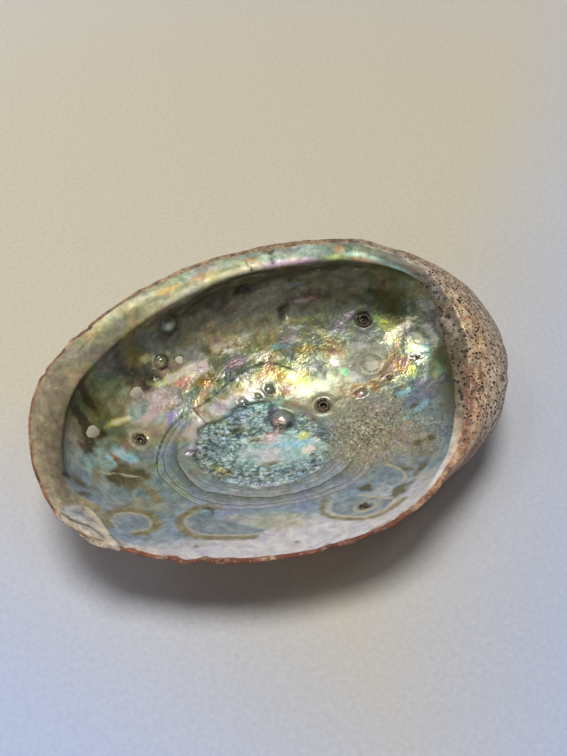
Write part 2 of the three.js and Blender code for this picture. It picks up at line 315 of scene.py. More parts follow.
# Relief of the hollow: the muscle's patch and its terraces, blister pearls and worm borings.
SCAR_CENTRE = np.array([-8.0, 2.0])
# Radii of the rough island and of the outermost terrace at every 30 degrees about that centre.
ISLAND_RADII = np.array([27, 25, 22.5, 21, 20.6, 26, 28, 24, 22, 22, 24, 28.0])
RING_RADII = np.array([53, 52, 38, 35, 33, 38.6, 45, 42, 36.5, 35, 41, 48.0])
SCAR_RISE = 0.9
TERRACE_STEP = 0.12
PEARL_CLEARING = 16.0  # how far the island's edge draws back from the largest pearl
CLEARING_RADIUS = 6.0
# Shares of the way from the island to the outermost terrace at which the layers' edges lie.
TERRACE_EDGES = [0.0, 0.09, 0.24, 0.33, 0.56, 0.65, 0.86, 1.0]
LOBE_BEARING = 155.0
LOBE_SPREAD = 45.0
LOBE_SHARE = 0.55
# Place, radius and height of each pearl, and how dark the line round it is. The one under the ledge has a
# height in its place, because the wall leans over there.
PEARLS = [
    ((3.5, 12), 4.7, 3.2, 0.8),
    ((49.5, 25), 4.6, 0.4, 0.1),
    ((-31.4, 53.3, 37.2), 4.0, 2.6, 0.95),
    ((-38, 45), 2.6, 2.2, 0.85),
    ((4, 27.5), 2.1, 0.9, 0.55),
    ((40.5, 13), 2.2, 1.0, 0.3),
    ((-9, 25), 1.8, 0.8, 0.6),
    ((-2, 26), 1.3, 0.6, 0.6),
    ((-38, 7), 1.4, 0.6, 0.4),
    ((-40, -27), 2.4, 1.0, 0.5),
]
MOAT_DEPTH = 0.3  # groove round a pearl
# Plan position, radius and depth of each worm boring. Two are ringed with cream.
BORINGS = [
    (-55.5, 16, 2.7, 2.0),
    (23, 13.5, 3.4, 1.8),
    (53, 43, 3.9, 1.6),
    (17, -48, 2.6, 1.8),
    (54, 15, 1.4, 1.2),
    (67, 19, 1.5, 1.2),
    (66, 47, 1.6, 1.4),
]
CREAM_RINGED = [BORINGS[0], BORINGS[3]]
COLLAR_HEIGHT = 0.3  # raised edge round a boring
# Dents of the far wall: place along x, height, radius and depth.
WALL_DENTS = [(2.8, 39, 4.0, 2.2), (20.3, 25, 3.0, 2.0), (-10, 40, 5.0, 1.0), (36, 33, 5.0, 1.0)]
# Outline of the flaked corner of the lip, where layers of the rim have broken off.
FLAKE = [(-93.5, -22), (-87, -20), (-82.5, -18.2), (-80, -22.5), (-78.5, -30), (-77, -37), (-73.5, -45),
         (-82, -44), (-91, -38), (-96, -28)]
plan_x = form[..., 0]
plan_y = form[..., 1]
stray_x = layered(form, (1.0, 6, 27), (0.6, 2.2, 28))
stray_y = layered(form, (1.0, 6, 29), (0.6, 2.2, 30))


def ellipse(x, y, radius_x, radius_y, tilt=0.0, stray=0.0):
    """Plan distance of every point from a centre, as a share of an ellipse's radius that way.

    The ellipse's edge wanders by about stray millimetres."""
    cos = math.cos(math.radians(tilt))
    sin = math.sin(math.radians(tilt))
    off_x = plan_x + stray * stray_x - x
    off_y = plan_y + stray * stray_y - y
    return np.hypot((cos * off_x + sin * off_y) / radius_x, (cos * off_y - sin * off_x) / radius_y)


def rounded(line, closed=False):
    """The same line with its corners cut three times, so that it runs smoothly."""
    line = np.array(line, float)
    for _ in range(3):
        ahead = np.roll(line, -1, 0)
        halves = np.stack([0.75 * line + 0.25 * ahead, 0.25 * line + 0.75 * ahead], 1)
        line = halves.reshape(-1, 2) if closed else np.concatenate(
            [line[:1], halves[:-1].reshape(-1, 2), line[-1:]])
    return line


def from_line(line, closed=False):
    """Plan distance of every point from a smooth line through or near the given points, in millimetres."""
    line = rounded(line, closed)
    if closed:
        line = np.concatenate([line, line[:1]])
    nearest = np.full(plan_x.shape, FAR_OFF)
    for a, b in zip(line, line[1:]):
        d = b - a
        share = np.clip(((plan_x - a[0]) * d[0] + (plan_y - a[1]) * d[1]) / max(d @ d, 1e-9), 0, 1)
        nearest = np.minimum(nearest, np.hypot(plan_x - a[0] - share * d[0], plan_y - a[1] - share * d[1]))
    return nearest


def from_plate(outline):
    """Plan distance of every point from a smooth outline in millimetres, below zero inside it."""
    line = rounded(outline, True)
    inside = np.zeros(plan_x.shape, bool)
    for a, b in zip(line, np.roll(line, -1, 0)):
        rise = b[1] - a[1] if b[1] != a[1] else 1e-9
        crossing_x = (b[0] - a[0]) * (plan_y - a[1]) / rise + a[0]
        inside ^= ((a[1] > plan_y) != (b[1] > plan_y)) & (plan_x < crossing_x)
    return from_line(outline, True) * np.where(inside, -1, 1)


scar_offset = form[..., :2] - SCAR_CENTRE
scar_distance = np.linalg.norm(scar_offset, axis=-1)
scar_turn = np.arctan2(scar_offset[..., 1], scar_offset[..., 0]) / (2 * math.pi)
island_radius = round_and_round(ISLAND_RADII, scar_turn)
ring_radius = round_and_round(RING_RADII, scar_turn)
ragged = layered(form, (1.6, 6, 5), (0.8, 2.5, 6))
largest_x, largest_y = PEARLS[0][0]
clearing = bell(np.hypot(plan_x - largest_x, plan_y - largest_y), CLEARING_RADIUS)
island = scar_distance - island_radius + ragged + PEARL_CLEARING * clearing
scar_share = (scar_distance - island_radius) / (ring_radius - island_radius) + 0.05 * lumps(form, 15, 7)
bearing_deg = np.degrees(scar_turn * 2 * math.pi) % 360
ring_side = smooth_step(120, 150, bearing_deg) * (1 - smooth_step(318, 345, bearing_deg))
lobe = LOBE_SHARE * bell(bearing_deg - LOBE_BEARING, LOBE_SPREAD)
ring = ring_side * smooth_step(-0.05, 0.05, scar_share - lobe) * (1 - smooth_step(1.0, 1.08, scar_share))

cup_relief = SCAR_RISE * (1 - smooth_step(-3, 2.5, scar_distance - island_radius))
terrace = np.interp(scar_share, TERRACE_EDGES, np.arange(len(TERRACE_EDGES)))
cup_relief += TERRACE_STEP * ring * (0.5 - terrace % 1)
on_island = 1 - smooth_step(-2, 1, island)
cup_relief += on_island * (0.35 * np.abs(lumps(form, 2.6, 8)) + 0.25 * lumps(form, 4.5, 9))
rough_side = bell((plan_x - 36) / 20, 1) * bell((plan_y + 6) / 22, 1)
cup_relief += 0.25 * rough_side * lumps(form, 2.4, 10)
knobby = np.clip(smooth_step(8, 40, plan_y) + smooth_step(30, 60, plan_x), 0, 1)
cup_relief += (0.35 + 0.55 * knobby) * lumps(form, 13, 11) + 0.25 * knobby * lumps(form, 5.5, 12)


def hollow_spot(x, y, z=None):
    """The hollow's point at a plan position, or nearest to a place, and every point's distance from it."""
    off = np.hypot(plan_x - x, plan_y - y)
    if z is not None:
        off = np.hypot(off, form[..., 2] - z)
    spot = np.unravel_index(np.argmin(np.where(in_hollow, off, FAR_OFF)), off.shape)
    return spot, np.linalg.norm(form - form[spot], axis=-1)


for centre, radius, height, _ in PEARLS:
    _, off = hollow_spot(*centre)
    dome = np.sqrt(np.clip(1 - (off / radius) ** 2, 0, 1))
    moat = bell(off - 1.15 * radius, 0.25 * radius)
    cup_relief += height * dome - MOAT_DEPTH * moat
for x, y, radius, depth in BORINGS:
    _, off = hollow_spot(x, y)
    collar = bell(off - 1.25 * radius, 0.35 * radius)
    shaft = 1 - smooth_step(0.55, 1.05, off / radius)
    cup_relief += COLLAR_HEIGHT * collar - depth * shaft

far_side = smooth_step(40, 54, plan_y)
wall_swell = lumps(form * (0.5, 1.0, 1.0), 7, 20)
wall_wrinkle = lumps(form * (0.6, 1.0, 1.0), 3, 21)
cup_relief += far_side * (0.9 * wall_swell + 0.35 * wall_wrinkle)
for x, height, radius, depth in WALL_DENTS:
    off = np.hypot(plan_x - x, form[..., 2] - height)
    cup_relief -= depth * far_side * bell(off, 0.7 * radius)
flake = from_plate(FLAKE)
flake_layers = lumps(form * (1.0, 0.35, 1.0), 4, 22) + 0.35 * lumps(form, 1.6, 23)
broken_edge = 0.6 * bell(flake + 0.4, 0.9)
broken_inside = 1 - smooth_step(-0.8, 0.4, flake)
flake_relief = broken_edge + broken_inside * (0.2 + 0.7 * np.abs(flake_layers))

relief = np.zeros(form.shape[:2])
relief[:, on_back] = back_relief
relief[:, in_hollow] = cup_relief[:, in_hollow]
relief[:, in_hollow] *= smooth_step(0, 6, row - edge_row)[in_hollow]
top_rows = ~on_back & ~in_hollow
relief[:, top_rows] = layered(form[:, top_rows], (0.3, 7, 13), (0.12, 2.5, 14))
relief[:, ~on_back] += flake_relief[:, ~on_back]
ledge_mm = np.zeros(form.shape[:2])
ledge_mm[:, top_rows] = np.concatenate([strip_along, ledge_along], 1) * ledge
directions = leaving(form)
skin = form + directions * relief[..., None]
skin[..., 2] = np.maximum(skin[..., 2], 0)

# The sheet as a mesh: its rows, then one point in the middle of the back and one in the middle of the hollow.
points = np.concatenate([skin.reshape(-1, 3), skin[:, :1].mean(0), skin[:, -1:].mean(0)])
back_pole = AROUND * ROWS
hollow_pole = back_pole + 1
corner = np.arange(AROUND * ROWS).reshape(AROUND, ROWS)
beside = np.roll(corner, -1, 0)
quads = np.stack([corner[:, :-1], beside[:, :-1], beside[:, 1:], corner[:, 1:]], -1).reshape(-1, 4)
quad_rows = np.tile(row[:-1], AROUND)
faces = [tuple(q) for q in quads.tolist()]
faces += [(back_pole, int(b), int(a)) for a, b in zip(corner[:, 0], beside[:, 0])]
faces += [(hollow_pole, int(a), int(b)) for a, b in zip(corner[:, -1], beside[:, -1])]
CRUST, NACRE = 0, 1
face_finish = np.concatenate([np.where(quad_rows < strip_row, CRUST, NACRE), np.full(AROUND, CRUST),
                              np.full(AROUND, NACRE)])


def mesh_from(name, corners, polygons):
    mesh = bpy.data.meshes.new(name)
    mesh.from_pydata((np.asarray(corners) * MM).tolist(), [], polygons)
    mesh.update()
    return mesh


def piece_from(mesh):
    piece = bpy.data.objects.new(mesh.name, mesh)
    bpy.context.scene.collection.objects.link(piece)
    return piece


shell_mesh = mesh_from("abalone_shell", points, faces)
shell_mesh.polygons.foreach_set("material_index", face_finish.astype(np.int32))
shell = piece_from(shell_mesh)

# Open pores, which lean through the wall towards the thin lip.
PORE_AXIS = Vector((-0.04, -0.58, 0.81)).normalized()
PORE_SIDES = 32
DRILL_LENGTH = 28.0  # more than the wall is thick
# Waves that make a hole ragged: height as a share of its radius, how many go round, and shift between holes.
RAGGED_WAVES = [(0.07, 3, 1), (0.04, 7, 2)]
drill_corners = []
drill_faces = []
side = PORE_AXIS.orthogonal().normalized()
other = PORE_AXIS.cross(side)
for i, radius in enumerate(OPEN_PORE_RADII):
    (x, y), _ = pore(i)
    spot, _ = hollow_spot(x, y)
    first = len(drill_corners)
    for end in (-1, 1):
        for k in range(PORE_SIDES):
            angle = 2 * math.pi * k / PORE_SIDES
            rough = 1 + sum(h * math.sin(count * angle + shift * i) for h, count, shift in RAGGED_WAVES)
            round_the_axis = radius * rough * (math.cos(angle) * side + math.sin(angle) * other)
            drill_corners.append(Vector(form[spot]) + end * DRILL_LENGTH / 2 * PORE_AXIS + round_the_axis)
    low_ring = list(range(first, first + PORE_SIDES))
    high_ring = [k + PORE_SIDES for k in low_ring]
    drill_faces.append(low_ring[::-1])
    drill_faces.append(high_ring)
    for k in range(PORE_SIDES):
        n = (k + 1) % PORE_SIDES
        drill_faces.append((low_ring[k], low_ring[n], high_ring[n], high_ring[k]))
drills_mesh = mesh_from("pore_drills", [tuple(c) for c in drill_corners], drill_faces)
drills_mesh.polygons.foreach_set("material_index", np.full(len(drills_mesh.polygons), NACRE, np.int32))
drills = piece_from(drills_mesh)
cut = shell.modifiers.new("pores", "BOOLEAN")
cut.operation = "DIFFERENCE"
cut.solver = "MANIFOLD"
cut.object = drills
bored = bpy.data.meshes.new_from_object(shell.evaluated_get(bpy.context.evaluated_depsgraph_get()))
shell.modifiers.clear()
shell.data = bored
bored.name = "abalone_shell"
bpy.data.objects.remove(drills)


# Nacre lining
# The inside and most of the ledge are nacre, thin plates of aragonite that split light into green, pink, gold
# and blue. Round the muscle's scar it is rough and layered, and olive stains and worm borings mark it.


def linear(code):
    """An sRGB hex colour as linear red, green, blue and alpha."""
    shares = [int(code[k:k + 2], 16) / 255 for k in (1, 3, 5)]
    return [c / 12.92 if c <= 0.04045 else ((c + 0.055) / 1.055) ** 2.4 for c in shares] + [1.0]


def per_mm(size):
    """The scale that gives a pattern with features of that size in millimetres."""
    return 1 / (size * MM)


def add(tree, kind, links=None, out=0, stops=None, **settings):
    """Adds a node with its settings, colour stops and links or values of sockets. Returns a socket."""
    node = tree.nodes.new("ShaderNode" + kind)
    for name, value in settings.items():
        setattr(node, name, value)
    for i, (position, code) in enumerate(stops or []):
        marks = node.color_ramp.elements
        mark = marks[i] if i < 2 else marks.new(position)
        mark.position = position
        mark.color = linear(code)
    for name, value in (links or {}).items():
        if isinstance(value, bpy.types.NodeSocket):
            tree.links.new(value, node.inputs[name])
        else:
            node.inputs[name].default_value = value
    return node.outputs[out]


def paint(tone, code, share):
    """Lays a colour over a grid of colours, by a share for each point."""
    tone += (np.array(linear(code)[:3]) - tone) * np.clip(share, 0, 1)[..., None]


on_ledge = top_rows & (row >= strip_row)
near_band = smooth_step(-36, -52, plan_y)
front = smooth_step(-62, -86, plan_x)
far_wall = smooth_step(46, 57, plan_y) * in_hollow
edge_noise = layered(form, (1.0, 4, 18), (0.6, 1.8, 19))


def patch(distance, soft=0.6):
    """Share of a patch with ragged edges, from the distance to its middle as a share of its radius."""
    return smooth_step(1 + soft, 1 - soft, distance + 0.3 * edge_noise)


def around(*place):
    """Share that fades out softly from a centre, by an ellipse's centre, radii and tilt."""
    return bell(ellipse(*place), 1)


# The tones that nacre takes in one patch or another.
TONES = {
    "pearl": "#d0cdd8", "stone": "#9d9a8e", "slate": "#8595a2", "sky": "#a6d8ee", "sea": "#b2d2d3",
    "smoke": "#918a78", "moss": "#6a6d4e", "umber": "#43392a", "soot": "#1f1a14", "gold": "#a3864a",
    "lemon": "#e3d994", "lime": "#d6e890", "cream": "#f7f0e0", "sand": "#a99a7a", "rose": "#dcbfbc",
    "pink": "#ffcdea", "coral": "#dba68e", "lilac": "#b7a2de", "mint": "#a4dcae", "sage": "#8d9782",
    "rust": "#96683c", "mauve": "#7a656a", "mist": "#98afb5", "blush": "#d9c4ce", "dawn": "#c2baa8",
}
# Patches of the hollow in the order they lie on one another: tone, plan centre, radii and tilt in degrees.
HOLLOW_PATCHES = [
    # floor in front of the scar; the two sky patches are painted glints
    ("slate", -70, -5, 24, 18, 0), ("stone", -62, -17, 12, 4, -10), ("mist", -73, 8, 6, 8, -15),
    ("sky", -64, 10, 5.4, 2.4, -50), ("sky", -69, 8, 3, 1.2, -60), ("rust", -67.4, 8, 1, 3, 20),
    ("sage", -48, -8, 3, 10, 25), ("sand", -83, -17, 6, 3.5, -30), ("smoke", -76, 0, 2, 6, -20),
    # front wall; the lemon and cream streak at -62, 24.6 is a painted glint
    ("moss", -72, 30, 9, 15, 32), ("umber", -77, 18, 3, 10, 8), ("moss", -66, 28, 8, 10, 20),
    ("sage", -65, 34.5, 3, 8, 25), ("sage", -59, 39, 2.4, 8, 25), ("umber", -75, 22, 1.6, 6, 15),
    ("smoke", -79.5, 21, 1.6, 6, 15), ("umber", -72.5, 33, 1.8, 6, 25), ("smoke", -54, 30, 8, 3.5, 30),
    ("umber", -70, 19, 3, 2, 0), ("lemon", -62, 24.6, 6, 1.5, 25), ("cream", -61, 25.2, 4, 0.8, 25),
    # round the pores; the lemon and cream spots at -43.5 and -40.8 are painted glints
    ("umber", -48, 43, 11, 5, 15), ("gold", -48, 45.2, 6, 2, 10), ("lemon", -43.5, 45.6, 2.6, 1.2, 10),
    ("cream", -40.8, 45.2, 1.2, 2.2, 0), ("soot", -43.5, 39, 5.5, 2.2, 25), ("soot", -35, 45, 1.3, 3.4, 0),
    ("umber", -31, 48, 6, 4, 0),
    # crumpled band behind the scar; its pale dawn tone is partly painted sheen, and its cream, pink, lime and
    # coral streaks are painted glints
    ("dawn", -4, 46.5, 32, 6.5, 4), ("blush", -45, 31, 12, 5, 28), ("mist", -53, 29, 6, 2.4, 30),
    ("lilac", -39.6, 24.6, 4, 2.2, 30), ("mist", -46, 24, 4, 1.6, 35),
    ("lime", -35, 40, 8, 1.6, 14), ("cream", -35, 39.8, 6, 1.1, 14), ("coral", -31, 38.4, 5, 1.2, 14),
    ("cream", -27, 42.3, 4, 1.1, 10), ("cream", -22.5, 41.5, 5.5, 2.4, 10), ("pink", -22, 41.8, 2.6, 1.6, 10),
    ("cream", -19.5, 43.4, 2.6, 0.9, 10), ("gold", -21.5, 37, 5, 1.8, 15), ("rose", -23, 32.6, 4.4, 1.6, 30),
    ("smoke", -13, 43.5, 5, 2.6, 10), ("cream", -14, 47.5, 4, 1.2, 15), ("smoke", -18, 47, 3, 2, 0),
    ("cream", -3, 48.5, 6, 1.1, 10), ("sand", 6, 46.5, 13, 2.6, -2), ("cream", 3.5, 42, 4.4, 1.4, 5),
    ("sea", 13, 43.4, 4.6, 1.2, -10), ("sea", 20, 41.4, 2.6, 1.2, -20), ("gold", 26, 39, 9, 2.6, -14),
    ("sand", 12, 41, 4, 1.6, -10), ("umber", 29, 38, 2, 1, 0), ("stone", 34, 44.5, 9, 3, -12),
    # inside the scar's upper edge; the lime patch at 18.5, 27 is a painted glint
    ("blush", -34, 15, 5, 10, -32), ("stone", -40, 9, 3, 6, -20), ("blush", -12, 27.5, 15, 4.4, 14),
    ("sand", -7, 32.5, 12, 2.2, 18), ("sand", 8, 33, 6, 3, -30),
    ("gold", 13, 30, 1.6, 6, 35), ("lime", 18.5, 27, 7, 2.6, -55), ("sand", 25, 23, 6, 2, -60),
    ("moss", 24, 28.4, 3.4, 0.9, -50), ("gold", 21.6, 30, 3, 0.9, -50), ("rust", 10, 24, 2, 1.2, 0),
    # spire side; the cream, lemon, lime, mint and coral patches and the gold streak from x 59 to 74 are
    # painted glints
    ("smoke", 36, 31, 13, 8, -20), ("moss", 65, 46, 9, 6, -40), ("stone", 46, 34, 9, 1.4, -14),
    ("smoke", 54, 27, 9, 7, -20), ("smoke", 43, 34, 8, 4, -20), ("sea", 35.4, 31.4, 1.4, 2, 20),
    ("mint", 37.4, 25.6, 1.6, 2.6, 20), ("moss", 33.6, 27.5, 2.2, 2.8, 0), ("lime", 61, 38, 1.8, 6, 40),
    ("cream", 66.5, 33, 5.4, 2.4, 20), ("lemon", 63.5, 31, 3.4, 2, 0), ("lime", 67.8, 22.4, 1.8, 3.6, 10),
    ("cream", 68, 25, 1, 2.4, 0), ("sea", 72.5, 19, 1.4, 4.5, 0), ("moss", 73, 27, 2, 5, -20),
    ("coral", 61.8, 27.4, 3, 1.1, 35), ("gold", 59, 18.4, 1, 3.8, 15), ("smoke", 49.4, 24.5, 7, 6.4, 0),
    ("lime", 63.6, 13, 1.4, 2.6, 0), ("mint", 73.4, 9.4, 1.2, 4, -18), ("lime", 71, 6.4, 1, 2.2, -18),
    ("umber", 61.7, 8.4, 1.8, 1.4, 0), ("umber", 66, 15, 1.2, 1.8, 0), ("rust", 40, 14.5, 3.6, 3, 0),
    ("rust", 46.5, 14, 2, 3.6, 20), ("umber", 53, 11, 1.4, 1.1, 0), ("slate", 56, 4, 9, 5, 15),
    ("sky", 57, 5.5, 4, 1.2, 15), ("slate", 61, -7, 8, 9, 20), ("sky", 60.7, -5, 4, 1.3, 30),
    ("sky", 53, -7, 3, 0.9, 30), ("umber", 57.7, -3.3, 1.7, 1.2, 0), ("sand", 34, -8, 17, 15, 0),
    ("smoke", 53, -24, 11, 6, 40), ("slate", 61, -20, 5, 8, 30),
    # the scar's island
    ("mist", -7, 3, 27, 19, -12), ("slate", -25, 5, 5, 8, 0), ("sea", -4, 20.5, 14, 1.6, 4),
    ("slate", -14, 18, 7, 2, 20), ("sea", -4, -2, 18, 8, -8), ("sky", 5, -2, 7, 2.4, -10),
    ("pearl", -8, -3, 7, 4, -8), ("lime", 10, 1, 3, 2, 20), ("rose", -2.2, 6.2, 5, 1.8, 0),
    ("blush", -6, 4, 5, 1.6, -10), ("moss", -15.3, 12, 3, 1.6, 0), ("moss", -30, -4, 2, 3, 30),
    ("lemon", -29, -5.5, 1.2, 1, 0), ("sand", -27, -8, 3, 2, -20), ("smoke", -8.7, 5.3, 3, 1.6, -20),
    ("smoke", -7.6, -8.6, 4, 1.4, 0), ("cream", 9, -7, 3, 2, 0), ("slate", 19, 2, 4, 8, 0),
]
PATCH_STRENGTH = 0.88
SMALL_PATCH = 4.0  # patches narrower than this have crisper edges
CRISP, SOFT = 0.35, 0.6
EDGE_STRAY = 0.5  # how far a patch's edge wanders, as a share of its narrow radius
NEAR_SIDE_BLUE = "#8b9db6"
RING_GREY = "#8f96a2"
ISLAND_EDGE_SHADE = "#26323a"
tone = np.empty(form.shape)
tone[:] = linear(TONES["stone"])[:3]
near_side = smooth_step(2, -22, plan_y)
paint(tone, NEAR_SIDE_BLUE, 0.85 * near_side)
paint(tone, TONES["pearl"], near_band)
# The far wall under the ledge is darkened, partly its own smoky olive-grey and partly painted shade.
paint(tone, TONES["smoke"], 0.92 * far_wall)
paint(tone, RING_GREY, 0.9 * ring)
for name, x, y, radius_x, radius_y, tilt in HOLLOW_PATCHES:
    narrow = min(radius_x, radius_y)
    softness = CRISP if narrow < SMALL_PATCH else SOFT
    off = ellipse(x, y, radius_x, radius_y, tilt, EDGE_STRAY * narrow)
    paint(tone, TONES[name], PATCH_STRENGTH * patch(off, softness) * in_hollow)
# A dark blue line of painted shade along the far side of the island's raised edge.
island_edge_shade = bell(island - 0.2, 1.1) * smooth_step(40, 70, bearing_deg) * smooth_step(235, 205, bearing_deg)
paint(tone, ISLAND_EDGE_SHADE, 0.75 * island_edge_shade * in_hollow)
# The wall is shaded along the crease under the front lip.
crease = bell(row - edge_row - 3, 5) * smooth_step(-58, -78, plan_x) * smooth_step(-12, 2, plan_y)
paint(tone, TONES["umber"], 0.7 * crease * in_hollow)
# Patches of the far wall under the ledge: tone, place along x, height and the two radii. The long umber band
# at height 46 is painted shade under the ledge, and the soot in the dents at x 2.8 and 19.5 is painted shade
# in them.
WALL_PATCHES = [
    ("umber", -25, 40, 24, 9), ("umber", 10, 46, 60, 6), ("smoke", -18, 31, 9, 4), ("sand", -7, 26, 9, 3),
    ("soot", 2.8, 39, 4, 3), ("stone", 11, 31, 7, 3), ("mauve", 29, 29, 9, 2.4), ("stone", 37, 33.5, 6, 1),
    ("slate", 24, 36, 6, 1.2), ("stone", 28, 33, 4, 0.7), ("soot", 19.5, 25.6, 3, 2.2),
    ("rose", 29, 28, 5, 0.7), ("sage", -3, 28, 8, 1.2), ("lime", 29, 21, 6, 0.8),
    ("soot", 50.8, 26, 3.2, 1.2), ("smoke", 46, 33, 10, 4), ("smoke", 40, 24, 7, 3),
    ("sand", 3, 23.5, 10, 1.4), ("slate", 36, 22, 6, 1),
]
for name, x, height, radius_x, radius_z in WALL_PATCHES:
    off_x = plan_x + EDGE_STRAY * radius_z * stray_x - x
    off_z = form[..., 2] + EDGE_STRAY * radius_z * stray_y - height
    paint(tone, TONES[name], 0.85 * patch(np.hypot(off_x / radius_x, off_z / radius_z), 0.4) * far_wall)
wrinkles = lumps(form * (0.3, 1.0, 1.0), 2.4, 31)
paint(tone, TONES["soot"], 0.25 * smooth_step(0.1, 0.4, wrinkles) * far_wall)
paint(tone, TONES["stone"], 0.35 * smooth_step(-0.15, -0.4, wrinkles) * far_wall)

# The ledge is smoother nacre. One tone for each station of the rim, and one for the crust outside it.
LEDGE_TONES = ["#847863", "#665b48", "#5f5848", "#5c645a", "#84918c", "#929682", "#938f7b", "#989079",
               "#a3987f", "#a2967f", "#aea698", "#cfc9cb", "#d6d1d6", "#d6d1d6", "#d5cfd2", "#cbc3be"]
RIM_TONES = ["#d8b494", "#ecd0a6", "#b9ad9f", "#9a938a", "#9f9378", "#a2957a", "#a5987e", "#a08f76",
             "#a08468", "#9a7056", "#936750", "#85503c", "#743a2b", "#763c2d", "#8c5643", "#e0b896"]


def round_the_rim(codes):
    """A colour for every point from one for each station."""
    colours = round_and_round(np.array([linear(code)[:3] for code in codes]), turn[:, 0])
    return np.repeat(colours[:, None], ROWS, axis=1)


tone = np.where(on_ledge[:, None], round_the_rim(LEDGE_TONES), tone)
rim_tone = round_the_rim(RIM_TONES)
# Patches of the ledge: tone, plan centre, radii and tilt.
LEDGE_PATCHES = [
    ("gold", -30, 56.5, 4.6, 1.5, 16), ("sand", -43.5, 54.5, 4, 1.2, 20), ("gold", -13, 57.8, 7, 1.6, 6),
    ("moss", -3, 58, 3.4, 1.2, 4), ("rust", 7, 60.2, 2.2, 0.9, 0), ("rust", 43.5, 53.5, 1.8, 2.0, 0),
    ("sage", -20, 60, 8, 1.2, 8), ("slate", 26, 59, 10, 2.2, -8), ("slate", 6, 62, 7, 1.2, 0),
    ("sea", 52, 47.5, 8, 1.3, -32), ("slate", 74.5, 22, 1.2, 3, 0), ("stone", 73, 6, 1.6, 5, 10),
    ("smoke", -70, 46, 5, 1.6, 35),
]
for name, x, y, radius_x, radius_y, tilt in LEDGE_PATCHES:
    paint(tone, TONES[name], 0.85 * patch(ellipse(x, y, radius_x, radius_y, tilt)) * on_ledge)
# Painted shade: the front lip's inner slope is darkened towards the crease where it meets the hollow.
lip_inside = smooth_step(strip_row, edge_row, row)
front_lip_shade = smooth_step(-74, -88, plan_x) * smooth_step(-30, -10, plan_y) * on_ledge
paint(tone, TONES["umber"], 0.45 * lip_inside * front_lip_shade)
# Glints along the ledge's inner edge: tone, where along x and how far.
EDGE_GLINTS = [("sand", -52, 12), ("cream", -26, 14), ("lemon", -12, 6), ("cream", 2, 12), ("pink", 22, 12),
               ("lime", 40, 6), ("coral", 52, 6), ("sea", 64, 6)]
at_edge = bell(row - edge_row + 1.5, 2.4) * (plan_y > 20)
for name, x, length in EDGE_GLINTS:
    paint(tone, TONES[name], 0.85 * at_edge * bell(plan_x - x, length))
spire_ledge = on_ledge * smooth_step(54, 66, plan_x) * smooth_step(40, 28, plan_y)
paint(tone, TONES["umber"], 0.3 * spire_ledge)
GRIME_BROWN = "#5f4d38"
grime = smooth_step(0.05, 0.4, lumps(form, 5, 25) + 0.5 * edge_noise)
paint(tone, GRIME_BROWN, 0.75 * grime * smooth_step(56, 66, plan_x) * smooth_step(40, 28, plan_y) * on_ledge)
# Growth streaks along the front lip.
streaks = 0.5 + 0.5 * np.sin(2.4 * ledge_mm + 3 * lumps(form, 14, 26))
paint(tone, TONES["umber"], 0.12 * streaks * smooth_step(-66, -84, plan_x) * on_ledge)
# The crust laps over the nacre's outer edge.
lap = np.where(top_rows, ledge_mm - strip, FAR_OFF)
tone += (rim_tone - tone) * (smooth_step(1.0, -0.4, lap - 0.9 * edge_noise) * on_ledge)[..., None]
# A red streak runs along the rim at the spire end, over nacre and crust alike.
STREAK_RED = "#7f4c40"
STREAK_STRENGTH = 0.75
RED_STREAK = [(72, -15), (69, -23), (63, -36), (55, -46)]
red_streak = smooth_step(2.8, 0.6, from_line(RED_STREAK) + 1.4 * edge_noise) * ~in_hollow
paint(tone, STREAK_RED, STREAK_STRENGTH * red_streak)
# The flaked corner of the lip shows broken layers: tan, a blue-grey plate, cream ridges and brown cracks.
FLAKE_RIDGES = [[(-84, -19), (-80.5, -24), (-79, -31), (-77.6, -36)],
                [(-91, -27), (-88, -32), (-84, -36.5), (-79, -40)]]
FLAKE_CRACKS = [[(-77.6, -36), (-75.8, -40), (-74.5, -46)], [(-92, -24), (-88, -28), (-83, -31), (-80, -37)],
                [(-90, -30), (-86, -35), (-81, -38.5)]]
in_flake = (1 - smooth_step(-0.9, 0.5, flake + 0.5 * edge_noise)) * ~on_back
FLAKE_TAN = "#c4beb8"
FLAKE_CREAM = "#d3c5a6"
FLAKE_BROWN = "#55402f"


def paint_flake(tone):
    """Paints the flaked corner on the nacre's colours or on the crust's."""
    paint(tone, FLAKE_TAN, 0.9 * in_flake)
    paint(tone, TONES["slate"], 0.7 * patch(ellipse(-87.5, -24, 4.6, 2.2, -35)) * in_flake)
    paint(tone, FLAKE_BROWN, 0.45 * in_flake * bell(flake_layers - 0.15, 0.1))
    for line in FLAKE_RIDGES:
        paint(tone, FLAKE_CREAM, 0.85 * bell(from_line(line), 0.8) * in_flake)
    for line in FLAKE_CRACKS:
        paint(tone, FLAKE_BROWN, 0.75 * bell(from_line(line), 0.6) * ~on_back)


paint_flake(tone)

